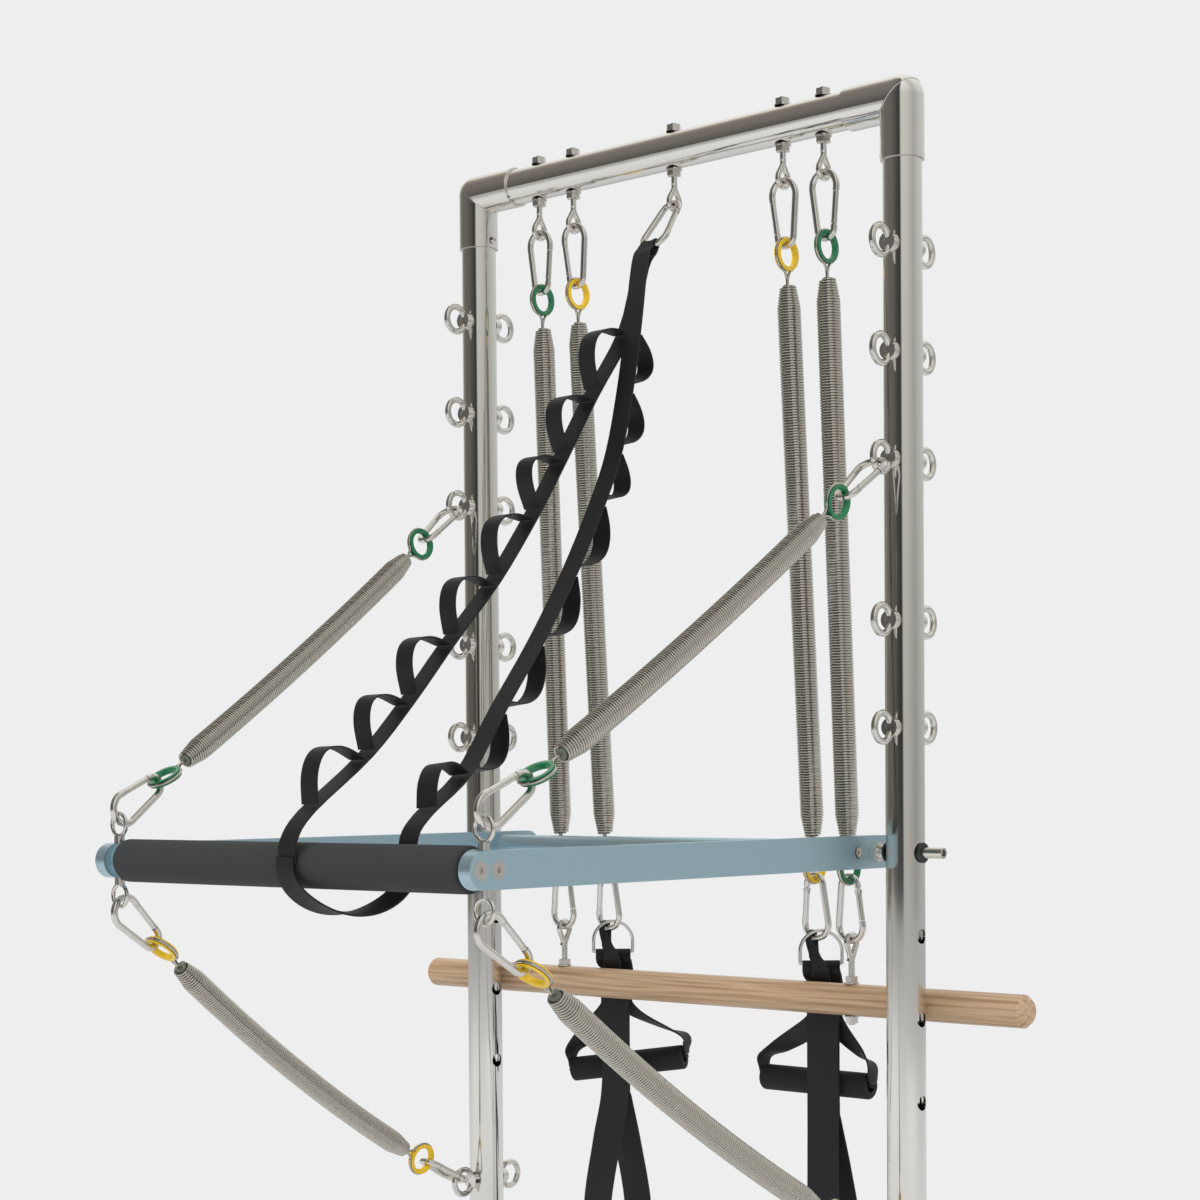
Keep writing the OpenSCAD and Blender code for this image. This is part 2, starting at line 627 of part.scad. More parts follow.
module foam_sleeve() {
  color("dimgray") translate([0, -arm_reach, pivot_z]) rotate([0, 90, 0]) difference() {
    cylinder(d = foam_d, h = 2 * arm_in - 14, center = true, $fn = 96);
    cylinder(d = front_d + 0.4, h = 2 * arm_in, center = true, $fn = 96);
  }
}

module rear_tube() {
  color("lightsteelblue") translate([0, -rear_y, pivot_z]) rotate([0, 90, 0]) difference() {
    cylinder(d = rear_d, h = 2 * arm_in - 0.1, center = true, $fn = 96);
    cylinder(d = rear_d - 4, h = 2 * arm_in - 50, center = true, $fn = 96);
    for (s = [-1, 1]) translate([0, 0, s * (arm_in - 10)])
      cylinder(r = 4 + fit, h = 26, center = true);
  }
}

module arm_screws() {
  color("silver") for (s = [-1, 1]) translate([0, 0, pivot_z]) rotate([0, s * 90, 0]) {
    for (q = [-1, 1]) translate([0, -arm_reach + q * screw_gap, 0]) difference() {
      union() {
        translate([0, 0, arm_out - 33]) cylinder(r = 4, h = 28);
        translate([0, 0, arm_out - 5]) cylinder(r1 = 4, r2 = 9, h = 4.9);
      }
      translate([0, 0, arm_out - 4]) cylinder(d = 6, h = 5, $fn = 6);
    }
    translate([0, -rear_y, 0]) difference() {
      union() {
        translate([0, 0, arm_out - 33]) cylinder(r = 4, h = 29.1);
        translate([0, 0, arm_out - 3.9]) cylinder(r = 6.4, h = 3.8);
      }
      translate([0, 0, arm_out - 3]) cylinder(d = 5.8, h = 5, $fn = 6);
    }
  }
}

// Small eyes screwed into the top and the underside of each arm
module arm_eyes() {
  color("silver") for (s = [-1, 1], up = [0, 1])
    translate([s * bar_x, -arm_reach, pivot_z]) rotate([0, up * 180, 0]) {
      translate([0, 0, arm_eye_rise]) rotate([90, 0, 0]) rotate_extrude($fn = 64)
        translate([arm_eye_r, 0]) circle(d = arm_eye_wire, $fn = 24);
      translate([0, 0, arm_h / 2 + 0.05])
        cylinder(d = 11, h = arm_eye_rise - arm_eye_r - arm_h / 2, $fn = 48);
      translate([0, 0, 7]) cylinder(r = 2.75, h = arm_h / 2 - 6, $fn = 32);
    }
}

module pivot_pins() {
  color("silver") for (s = [-1, 1]) translate([0, 0, pivot_z]) rotate([0, s * 90, 0])
    difference() {
      translate([0, 0, arm_in + 1])
        cylinder(d = pin_d, h = post_x + tube_r + pin_out - arm_in - 1, $fn = 48);
      translate([0, 0, post_x + tube_r + pin_out - 8]) cylinder(d = 8, h = 9, $fn = 6);
    }
}

// Lock nut against the arm and the spacer between it and the bush
module pivot_nuts() {
  color("silver") for (s = [-1, 1]) translate([0, 0, pivot_z]) rotate([0, s * 90, 0]) {
    translate([0, 0, arm_out + 0.05]) hex_nut(19, 10, pin_d / 2 + 0.1);
    translate([0, 0, arm_out + 10.15]) difference() {
      cylinder(r = 8, h = post_x - tube_r - 2.8 - arm_out - 10.15 - air);
      translate([0, 0, -1]) cylinder(r = pin_d / 2 + 0.1, h = 20);
    }
  }
}

module bar_hooks() {
  color("silver") for (s = [-1, 1]) {
    along(mirror_x(s, up_b + up_dir_b * arm_eye_seat), mirror_x(s, up_dir_b), [0, 0, 1]) {
      hook_body();
      hook_gate();
    }
    along(mirror_x(s, low_b + low_dir_b * arm_eye_seat), mirror_x(s, low_dir_b), [0, 0, 1]) {
      hook_body();
      hook_gate();
    }
  }
}
module green_bar_thimbles() {
  color("green") for (s = [-1, 1])
    along(mirror_x(s, up_b + up_dir_b * reach_thimble(arm_eye_seat)), mirror_x(s, up_dir_b),
      [1, 0, 0]) thimble();
}
module yellow_bar_thimbles() {
  color("gold") for (s = [-1, 1])
    along(mirror_x(s, low_b + low_dir_b * reach_thimble(arm_eye_seat)), mirror_x(s, low_dir_b),
      [1, 0, 0]) thimble();
}

// Side spring: two swivel eyes and the coil between them
module side_spring(s, a, da, b, db, sag) {
  along(mirror_x(s, a + da * reach_thimble(nut_seat)), mirror_x(s, da), [0, 1, 0]) swivel();
  along(mirror_x(s, b + db * reach_thimble(arm_eye_seat)), mirror_x(s, db), [1, 0, 0]) swivel();
  coil(mirror_x(s, a + da * reach_coil(nut_seat)),
    mirror_x(s, b + db * reach_coil(arm_eye_seat)), sag * coil_dip);
}
module upper_springs() {
  color("silver") for (s = [-1, 1]) side_spring(s, up_a, up_dir_a, up_b, up_dir_b, sag_up);
}
module lower_springs() {
  color("silver") for (s = [-1, 1]) side_spring(s, low_a, low_dir_a, low_b, low_dir_b, sag_low);
}

// Springs hung from the crossbar

module top_hooks() {
  color("silver") for (s = [-1, 1]) {
    along(mirror_x(s, roll_top + roll_dir * eye_seat), mirror_x(s, roll_dir), [1, 0, 0]) {
      hook_body();
      hook_gate();
    }
    along(mirror_x(s, hand_top + hand_dir * eye_seat), mirror_x(s, hand_dir), [-1, 0, 0]) {
      hook_body();
      hook_gate();
    }
  }
}
module green_top_thimbles() {
  color("green") for (s = [-1, 1])
    along(mirror_x(s, roll_top + roll_dir * reach_thimble(eye_seat)), mirror_x(s, roll_dir),
      [0, 1, 0]) thimble();
}
module yellow_top_thimbles() {
  color("gold") for (s = [-1, 1])
    along(mirror_x(s, hand_top + hand_dir * reach_thimble(eye_seat)), mirror_x(s, hand_dir),
      [0, 1, 0]) thimble();
}

// Hanging spring between a top eye and a low eye; low_seat places the low carabiner
module hung_spring(s, top, low, dir, low_seat) {
  along(mirror_x(s, top + dir * reach_thimble(eye_seat)), mirror_x(s, dir), [0, 1, 0]) swivel();
  along(mirror_x(s, low - dir * reach_thimble(low_seat)), mirror_x(s, -dir), [0, 1, 0]) swivel();
  coil(mirror_x(s, top + dir * reach_coil(eye_seat)),
    mirror_x(s, low - dir * reach_coil(low_seat)), 0);
}
module roll_springs() {
  color("silver") for (s = [-1, 1]) hung_spring(s, roll_top, roll_low, roll_dir, eye_seat);
}

// Roll bar

module dowel() {
  color("burlywood") translate([0, dowel_y, dowel_z]) difference() {
    rotate([0, 90, 0]) union() {
      cylinder(d = dowel_d, h = dowel_len - 12, center = true, $fn = 96);
      for (q = [0, 1]) rotate([q * 180, 0, 0]) translate([0, 0, dowel_len / 2 - 6])
        cylinder(r1 = dowel_d / 2, r2 = dowel_d / 2 - 5, h = 6, $fn = 96);
    }
    for (s = [-1, 1]) translate([s * roll_low[0], 0, 0])
      cylinder(r = bolt_r + 0.4, h = dowel_d + 2, center = true);
  }
}

module dowel_eyes() {
  color("silver") for (s = [-1, 1]) translate(mirror_x(s, roll_low))
    rotate([180, 0, 90]) wire_eye(low_eye_z - dowel_z + dowel_d / 2 + 10);
}

module dowel_nuts() {
  color("silver") for (s = [-1, 1]) translate([s * roll_low[0], dowel_y, dowel_z]) {
    translate([0, 0, dowel_d / 2 + 0.1]) {
      difference() {
        cylinder(r = 8.5, h = 1.5);
        translate([0, 0, -1]) cylinder(r = bolt_r + fit, h = 4);
      }
      translate([0, 0, 1.5]) hex_nut(13, 7, bolt_r + fit);
    }
    translate([0, 0, -dowel_d / 2 - 8.1]) {
      hex_nut(13, 6.6, bolt_r + fit);
      translate([0, 0, 6.6]) difference() {
        cylinder(r = 8.5, h = 1.4);
        translate([0, 0, -1]) cylinder(r = bolt_r + fit, h = 4);
      }
    }
  }
}

module low_hooks() {
  color("silver") for (s = [-1, 1])
    along(mirror_x(s, roll_low - roll_dir * eye_seat), mirror_x(s, -roll_dir), [1, 0, 0])
      hook_body();
}
module low_gate(s) {
  color("silver")
    along(mirror_x(s, roll_low - roll_dir * eye_seat), mirror_x(s, -roll_dir), [1, 0, 0])
      hook_gate();
}
module left_low_gate() { low_gate(-1); }
module right_low_gate() { low_gate(1); }
module low_thimbles() {
  color("green") for (s = [-1, 1])
    along(mirror_x(s, roll_low - roll_dir * reach_thimble(eye_seat)), mirror_x(s, -roll_dir),
      [0, 1, 0]) thimble();
}

// Handles

module hand_spring(s) {
  color("silver") hung_spring(s, hand_top, hand_low, hand_dir, 0);
}
module hand_thimble(s) {
  color("gold")
    along(mirror_x(s, hand_low - hand_dir * reach_thimble(0)), mirror_x(s, -hand_dir), [0, 1, 0])
      thimble();
}
module hand_hook(s) {
  color("silver") along(mirror_x(s, hand_low), mirror_x(s, -hand_dir), [-1, 0, 0]) hook_body();
}
module hand_gate(s) {
  color("silver") along(mirror_x(s, hand_low), mirror_x(s, -hand_dir), [-1, 0, 0]) hook_gate();
}

// D-ring: a bow, two short legs and the straight bar that carries the webbing
module hand_ring(s) {
  leg = ring_high - ring_r;
  color("silver") translate([ring_x(s), hand_low[1], ring_top_z - ring_r])
    rotate([0, 0, ring_turn]) {
      rotate([90, 0, 0]) rotate_extrude(angle = 180) translate([ring_r, 0])
        circle(d = ring_wire, $fn = 24);
      for (q = [-1, 1]) translate([q * ring_r, 0, -leg]) {
        cylinder(d = ring_wire, h = leg, $fn = 24);
        sphere(d = ring_wire, $fn = 24);
      }
      translate([0, 0, -leg]) rotate([0, 90, 0])
        cylinder(d = ring_wire, h = 2 * ring_r, center = true, $fn = 24);
    }
}

// Left and right grips: their middles, how far each is turned about Z, and its tilt
grip_mid = [[-165.5, 99, 327], [140, 80, 330]];
grip_turn = [20, 0];
grip_tilt = [8, 0];
function grip_dir(k) =
  [cos(grip_turn[k]) * cos(grip_tilt[k]), sin(grip_turn[k]) * cos(grip_tilt[k]),
   sin(grip_tilt[k])];
function grip_at(k, x) = grip_mid[k] + grip_dir(k) * x;
dowel_back = dowel_y + dowel_d / 2 + air;
band_t = 4.5;
// The loop's two layers lie between the dowel and the band
loop_front = dowel_back + 1.1;
loop_rear = loop_front + 2.4;
band_y = loop_rear + 1.4 + band_t / 2;
strap_out = 24;
strap_thick = 2.4;

// Half of the webbing that runs from the band through the grip, out to one of its ends
function half_strap(k, x0, q) =
  let (out = grip_dir(k) * q, end = grip_at(k, q * grip_len / 2), up = [0, 0, 1],
       from = [x0 + q * 13, band_y, 399],
       across = [-sin(grip_turn[k]), cos(grip_turn[k]), 0])
  [[[x0 + q * 12.4, band_y, 418], -q * side_x, strap_out, strap_thick],
   [[x0 + q * 12.4, band_y, 406], -q * side_x, strap_out, strap_thick],
   [lerp(from, end + out * 3 + up * 26, 0.2), -q * side_x, strap_out, strap_thick],
   [lerp(from, end + out * 3 + up * 26, 0.6), [-q, 0.5, 0], strap_out, strap_thick],
   [end + out * 3 + up * 26, [-q * 0.2, 0.9, 0], strap_out, strap_thick],
   [end + out * 9 + up * 11, across, 22, strap_thick],
   [end + out * 6 + up * 2, across, 15, strap_thick],
   [end, across, 12, strap_thick]];

// Doubled band round the D-ring's bar, and the webbing from it through the hand grip
module hand_strap(s) {
  k = s < 0 ? 0 : 1;
  x0 = ring_x(s);
  y0 = hand_low[1];
  turned = [cos(ring_turn), sin(ring_turn), 0];
  left_half = half_strap(k, x0, -1);
  right_half = half_strap(k, x0, 1);
  color([0.1, 0.1, 0.1]) union() {
    translate([x0, y0, ring_bar_z]) rotate([0, 0, ring_turn]) rotate([0, 90, 0]) difference() {
      cylinder(r = 4.2, h = web_w - 1.2, center = true, $fn = 24);
      cylinder(r = ring_wire / 2 + 0.15, h = web_w + 2, center = true, $fn = 24);
    }
    ribbon([[[x0, y0, ring_bar_z - 2.8], turned, web_w - 1, band_t],
      [[x0, y0, ring_bar_z - 7], turned, web_w - 1, band_t],
      [[x0, y0 + 2.4, ring_bar_z - 11.5], [0.85, 0.5, 0], web_w - 1, band_t],
      [[x0, y0 + 5.4, ring_bar_z - 15.5], [0.93, 0.36, 0], web_w - 1, band_t],
      [[x0, y0 + 7.6, ring_bar_z - 19.5], [0.97, 0.22, 0], web_w - 1, band_t],
      [[x0, band_y + 0.6, 446], [1, 0.1, 0], web_w, band_t],
      [[x0, band_y, 437], side_x, web_w, band_t],
      [[x0, band_y, 404], side_x, web_w, band_t]]);
    ribbon(concat(left_half, [for (i = [len(right_half) - 1:-1:0]) right_half[i]]));
  }
}

module hand_grip(s) {
  k = s < 0 ? 0 : 1;
  color([0.15, 0.15, 0.15]) translate(grip_mid[k])
    rotate([0, 0, grip_turn[k]]) rotate([0, 90 - grip_tilt[k], 0]) difference() {
      cylinder(d = grip_d, h = grip_len, center = true, $fn = 64);
      cylinder(r = 6.4, h = grip_len + 2, center = true, $fn = 48);
    }
}

// Long webbing loop, folded over the carabiner and led down through the D-ring; its two
// layers pass between the dowel and the band, hang before the grip, part and meet again
module hand_loop(s) {
  k = s < 0 ? 0 : 1;
  x0 = ring_x(s);
  y0 = hand_low[1];
  // The fold sits a little up the left side of the carabiner's wide end
  up_arc = 33;
  fold = mirror_x(s, hand_low) + wide_r * [-sin(up_arc), 0, 1 - cos(up_arc)];
  along_arc = [cos(up_arc), 0, -sin(up_arc)];
  n1 = [sin(up_arc), 0, cos(up_arc)];
  y1 = [0, 1, 0];
  side_f = hook_r + 1.35;
  turned = [cos(ring_turn), sin(ring_turn), 0];
  ahead = [sin(ring_turn), -cos(ring_turn), 0];
  // Point given along the D-ring's bar, ahead of it and above it
  function at_bar(u, n, z) = [x0, y0, ring_bar_z + z] + turned * u + ahead * n;
  // Where the front and the rear layer hang lowest, and how far back the rear one swings
  front_x = s < 0 ? -184 : 162;
  rear_x = s < 0 ? -172 : 168;
  swing_y = s < 0 ? 122 : 98;
  color([0.1, 0.1, 0.1]) ribbon(finer([
    [fold + y1 * side_f - n1 * 3, along_arc, 7, 1.5],
    [fold + y1 * side_f, along_arc, 7, 1.5],
    [fold + y1 * 3.8 + n1 * 5, along_arc, 6.6, 1.5],
    [fold - y1 * 3.8 + n1 * 5, along_arc, 6.6, 1.5],
    [fold - y1 * side_f, along_arc, 7, 1.5],
    [fold + [0, -side_f, -5.5], along_arc + [0.3, 0.2, 0.3], 8, 1.5],
    [at_bar(-8, 1.3, 11.5), turned, 12, 1.6],
    [at_bar(-6, 6.2, 5.25), turned, 14, 1.8],
    [at_bar(-4, 9.4, 0), turned, 17, 1.8],
    [at_bar(-2, 11.6, -8), [0.9, 0.4, 0], 20, 2],
    [[x0, loop_front - 4.2, 447], [1, 0.1, 0], 26, 2],
    [[x0, loop_front, 437], side_x, web_w, 2],
    [[x0, loop_front, 300], side_x, web_w, 2],
    [[(x0 + front_x) / 2, loop_front, 230], side_x, web_w, 2],
    [[front_x, loop_front, 150], side_x, web_w, 2],
    [[front_x + 2, loop_front + 3, 80], side_x, web_w, 2],
    [[front_x + 4, loop_front + 16, 38], side_x, web_w, 2],
    [[(front_x + rear_x) / 2, (loop_front + swing_y) / 2, 28], side_x, web_w, 2],
    [[rear_x, swing_y - 10, 40], side_x, web_w, 2],
    [[rear_x, swing_y, 85], side_x, web_w, 2],
    [[rear_x, swing_y, 150], side_x, web_w, 2],
    [[(x0 + rear_x) / 2, (loop_front + swing_y) / 2 + 2, 230], side_x, web_w, 2],
    [[x0, loop_rear + 3, 290], side_x, web_w, 2],
    [[x0, loop_rear, 306], side_x, web_w, 2],
    [[x0, loop_rear, 437], side_x, web_w, 2],
    [[x0, loop_rear - 4.2, 447], [1, 0.1, 0], 26, 2],
    [at_bar(-2, 9.1, -8), [0.9, 0.4, 0], 20, 2],
    [at_bar(-4, 6.6, 0), turned, 17, 1.8],
    [at_bar(-6, 3.6, 5.25), turned, 14, 1.8],
    [at_bar(-8, -1.3, 11.5), turned, 12, 1.6],
    [fold + [0, side_f + 1.8, -5.5], along_arc + [0.3, 0.2, 0.3], 8, 1.5],
    [fold + y1 * (side_f + 1.8) - n1 * 1, along_arc, 6.6, 1.5]], 2));
}

module left_spring() { hand_spring(-1); }
module right_spring() { hand_spring(1); }
module left_thimble() { hand_thimble(-1); }
module right_thimble() { hand_thimble(1); }
module left_hook() { hand_hook(-1); }
module right_hook() { hand_hook(1); }
module left_gate() { hand_gate(-1); }
module right_gate() { hand_gate(1); }
module left_d_ring() { hand_ring(-1); }
module right_d_ring() { hand_ring(1); }
module left_strap() { hand_strap(-1); }
module right_strap() { hand_strap(1); }
module left_grip() { hand_grip(-1); }
module right_grip() { hand_grip(1); }
module left_loop() { hand_loop(-1); }
module right_loop() { hand_loop(1); }

// What is drawn

left_post();
right_post();
crossbar();
left_elbow();
right_elbow();
elbow_screws();
left_eye_nuts();
right_eye_nuts();
eye_nut_studs();
crossbar_eyes();
crossbar_nuts();
crossbar_washers();
pivot_bushes();
post_hooks();
green_post_thimbles();
yellow_post_thimbles();
safety_hook();
safety_gate();
safety_strap();
left_arm();
right_arm();
front_tube();
foam_sleeve();
rear_tube();
arm_screws();
arm_eyes();
pivot_pins();
pivot_nuts();
bar_hooks();
green_bar_thimbles();
yellow_bar_thimbles();
upper_springs();
lower_springs();
top_hooks();
green_top_thimbles();
yellow_top_thimbles();
roll_springs();
dowel();
dowel_eyes();
dowel_nuts();
low_hooks();
left_low_gate();
right_low_gate();
low_thimbles();
left_spring();
left_thimble();
left_hook();
left_gate();
left_d_ring();
left_strap();
left_grip();
left_loop();
right_spring();
right_thimble();
right_hook();
right_gate();
right_d_ring();
right_strap();
right_grip();
right_loop();
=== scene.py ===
"""Looks of the pilates tower unit: materials, wound springs, webbing, camera and light."""
import bmesh
import bpy
import math
import numpy as np
from mathutils import Matrix, Vector


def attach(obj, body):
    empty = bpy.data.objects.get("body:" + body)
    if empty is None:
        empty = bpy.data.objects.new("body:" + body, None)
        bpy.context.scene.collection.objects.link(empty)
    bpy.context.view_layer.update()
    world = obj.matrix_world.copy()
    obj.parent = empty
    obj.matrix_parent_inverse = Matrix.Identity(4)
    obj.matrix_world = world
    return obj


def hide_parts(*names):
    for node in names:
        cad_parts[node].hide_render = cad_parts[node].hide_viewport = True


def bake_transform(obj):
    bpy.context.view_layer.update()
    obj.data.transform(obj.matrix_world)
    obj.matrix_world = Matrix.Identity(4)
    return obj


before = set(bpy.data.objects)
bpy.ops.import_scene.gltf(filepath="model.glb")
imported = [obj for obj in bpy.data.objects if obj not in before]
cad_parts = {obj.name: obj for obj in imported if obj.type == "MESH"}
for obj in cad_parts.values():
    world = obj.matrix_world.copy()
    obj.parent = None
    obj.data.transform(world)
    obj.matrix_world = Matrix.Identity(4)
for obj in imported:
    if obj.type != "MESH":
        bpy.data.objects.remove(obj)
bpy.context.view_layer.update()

# Camera.
# A long lens a little above the push-through bar, right of the unit's front. Its focal
# length is given in pixels of a picture as wide as the photo.
FOCAL_PX, IMAGE_PX = 2382.8, 1200
SENSOR_MM, SHIFT_Y = 36, 0.1917
YAW, PITCH, ROLL = math.radians(41.55), math.radians(1.25), math.radians(-0.42)
EYE = Vector((1.7783, -2.1449, 0.6829))

forward = Vector((-math.sin(YAW) * math.cos(PITCH), math.cos(YAW) * math.cos(PITCH),
                  -math.sin(PITCH)))
level = forward.cross(Vector((0, 0, 1))).normalized()
upright = level.cross(forward)
right = level * math.cos(ROLL) + upright * math.sin(ROLL)
up = upright * math.cos(ROLL) - level * math.sin(ROLL)
camera_data = bpy.data.cameras.new("camera")
camera_data.sensor_width = SENSOR_MM
camera_data.lens = FOCAL_PX / IMAGE_PX * SENSOR_MM
camera_data.shift_y = SHIFT_Y
camera = bpy.data.objects.new("camera", camera_data)
turn = Matrix((right, up, -forward)).transposed()
camera.matrix_world = Matrix.Translation(EYE) @ turn.to_4x4()
bpy.context.collection.objects.link(camera)
bpy.context.scene.camera = camera
bpy.context.scene.view_settings.view_transform = "Standard"

# Studio.
# Pale plain backdrop and floor with three soft lamps; what the polished tubes mirror is a
# ring of pale and dark walls.
BACKDROP = (0.855, 0.855, 0.855, 1)
FILL_LIGHT = (0.62, 0.62, 0.63, 1)
FLOOR_HALF, FLOOR_DROP = 9, 0.002


def node(tree, kind, **values):
    """A shader or geometry node with its properties set and, by name, its inputs."""
    n = tree.nodes.new(kind)
    for key, value in values.items():
        if hasattr(n, key):
            setattr(n, key, value)
        else:
            n.inputs[key.replace("_", " ")].default_value = value
    return n


def ramp(tree, source, stops):
    """Colour ramp with (position, colour) stops, fed by an output."""
    n = tree.nodes.new("ShaderNodeValToRGB")
    e = n.color_ramp.elements
    while len(e) < len(stops):
        e.new(0.5)
    for one, (at, colour) in zip(e, stops):
        one.position = at
        one.color = (*colour, 1) if len(colour) == 3 else (colour[0],) * 3 + (1,)
    tree.links.new(source, n.inputs[0])
    return n.outputs[0]


world = bpy.data.worlds.new("studio")
bpy.context.scene.world = world
world.use_nodes = True
tree = world.node_tree
tree.nodes.clear()
texture = tree.nodes.new("ShaderNodeTexCoord")
turned = node(tree, "ShaderNodeMapping")
turned.inputs["Rotation"].default_value = (0, 0, math.pi - YAW)
tree.links.new(texture.outputs["Generated"], turned.inputs["Vector"])
split = tree.nodes.new("ShaderNodeSeparateXYZ")
tree.links.new(turned.outputs[0], split.inputs[0])
azimuth = node(tree, "ShaderNodeMath", operation="ARCTAN2")
tree.links.new(split.outputs[1], azimuth.inputs[0])
tree.links.new(split.outputs[0], azimuth.inputs[1])
share = node(tree, "ShaderNodeMath", operation="MULTIPLY_ADD")
share.inputs[1].default_value = 1 / (2 * math.pi)
share.inputs[2].default_value = 0.5
tree.links.new(azimuth.outputs[0], share.inputs[0])
walls = ramp(tree, share.outputs[0], [
    (0.0, (0.80, 0.80, 0.79)), (0.17, (0.95, 0.95, 0.94)), (0.27, (1.0, 1.0, 0.98)),
    (0.335, (0.80, 0.77, 0.70)), (0.38, (0.36, 0.33, 0.28)), (0.45, (0.22, 0.20, 0.18)),
    (0.55, (0.20, 0.19, 0.18)), (0.63, (0.12, 0.115, 0.11)), (0.69, (0.04, 0.04, 0.04)),
    (0.715, (0.9, 0.9, 0.88)), (0.80, (0.85, 0.84, 0.80)), (0.9, (0.6, 0.6, 0.58)),
    (1.0, (0.80, 0.80, 0.79))])
height = ramp(tree, split.outputs[2], [(0.0, (0.55,)), (0.45, (0.9,)), (0.75, (1.0,))])
mirror = node(tree, "ShaderNodeMix", data_type="RGBA", blend_type="MULTIPLY")
mirror.inputs[0].default_value = 1
tree.links.new(walls, mirror.inputs[6])
tree.links.new(height, mirror.inputs[7])
rays = tree.nodes.new("ShaderNodeLightPath")
seen = node(tree, "ShaderNodeMix", data_type="RGBA")
seen.inputs[6].default_value = FILL_LIGHT
tree.links.new(rays.outputs["Is Glossy Ray"], seen.inputs[0])
tree.links.new(mirror.outputs[2], seen.inputs[7])
shown = node(tree, "ShaderNodeMix", data_type="RGBA")
shown.inputs[7].default_value = BACKDROP
tree.links.new(rays.outputs["Is Camera Ray"], shown.inputs[0])
tree.links.new(seen.outputs[2], shown.inputs[6])
background = tree.nodes.new("ShaderNodeBackground")
tree.links.new(shown.outputs[2], background.inputs[0])
tree.links.new(background.outputs[0], tree.nodes.new("ShaderNodeOutputWorld").inputs[0])


def area_light(name, at, size, watts, target=(0, -0.2, 0.7)):
    """Soft square lamp that looks at the unit."""
    data = bpy.data.lights.new(name, "AREA")
    data.size = size
    data.energy = watts
    lamp = bpy.data.objects.new(name, data)
    lamp.location = at
    look = Vector(target) - Vector(at)
    lamp.rotation_euler = look.to_track_quat("-Z", "Y").to_euler()
    lamp.visible_glossy = False
    bpy.context.collection.objects.link(lamp)


area_light("key_lamp", (-1.8, -2.6, 3.2), 2.4, 70)
area_light("fill_lamp", (2.8, -1.2, 1.8), 2.4, 26)
area_light("back_lamp", (0.5, 2.6, 2.6), 2.0, 25)

floor_material = bpy.data.materials.new("floor")
floor_material.use_nodes = True
tree = floor_material.node_tree
tree.nodes.clear()
rays = tree.nodes.new("ShaderNodeLightPath")
plain = tree.nodes.new("ShaderNodeEmission")
plain.inputs[0].default_value = BACKDROP
matt = tree.nodes.new("ShaderNodeBsdfDiffuse")
matt.inputs[0].default_value = (0.75, 0.75, 0.75, 1)
either = tree.nodes.new("ShaderNodeMixShader")
tree.links.new(rays.outputs["Is Camera Ray"], either.inputs[0])
tree.links.new(matt.outputs[0], either.inputs[1])
tree.links.new(plain.outputs[0], either.inputs[2])
tree.links.new(either.outputs[0], tree.nodes.new("ShaderNodeOutputMaterial").inputs[0])
floor_mesh = bpy.data.meshes.new("floor")
corners = [(x * FLOOR_HALF, y * FLOOR_HALF, 0) for x, y in ((-1, -1), (1, -1), (1, 1), (-1, 1))]
floor_mesh.from_pydata(corners, [], [(0, 1, 2, 3)])
floor_mesh.materials.append(floor_material)
floor = bpy.data.objects.new("floor", floor_mesh)
floor.location.z = -FLOOR_DROP
bpy.context.collection.objects.link(floor)

# Frame tubes.
# Two posts and a crossbar of mirror-polished stainless tube, joined by mitred elbows with
# sleeves inside. Eye nuts sit in pairs, front and back, on studs through the posts.


def material(name, colour, rough, metal=0.0, coat=0.0):
    """Principled material, returned with its node tree and its shader."""
    m = bpy.data.materials.new(name)
    m.use_nodes = True
    bsdf = m.node_tree.nodes["Principled BSDF"]
    bsdf.inputs["Base Color"].default_value = (*colour, 1)
    bsdf.inputs["Roughness"].default_value = rough
    bsdf.inputs["Metallic"].default_value = metal
    bsdf.inputs["Coat Weight"].default_value = coat
    return m, m.node_tree, bsdf


def noise(tree, scale, detail=2, stretch=(1, 1, 1)):
    """Noise in the part's own frame; returns its output."""
    at = tree.nodes.new("ShaderNodeTexCoord")
    wide = tree.nodes.new("ShaderNodeMapping")
    wide.inputs["Scale"].default_value = stretch
    n = tree.nodes.new("ShaderNodeTexNoise")
    n.inputs["Scale"].default_value = scale
    n.inputs["Detail"].default_value = detail
    tree.links.new(at.outputs["Object"], wide.inputs[0])
    tree.links.new(wide.outputs[0], n.inputs["Vector"])
    return n.outputs[0]


def bump(tree, bsdf, height, strength, distance):
    """Bump from a height output."""
    b = tree.nodes.new("ShaderNodeBump")
    b.inputs["Strength"].default_value = strength
    b.inputs["Distance"].default_value = distance
    tree.links.new(height, b.inputs["Height"])
    tree.links.new(b.outputs[0], bsdf.inputs["Normal"])


def dress(shader, *names):
    """Gives a material to CAD nodes that keep their shape."""
    for name in names:
        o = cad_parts[name]
        o.data.materials.clear()
        o.data.materials.append(shader)


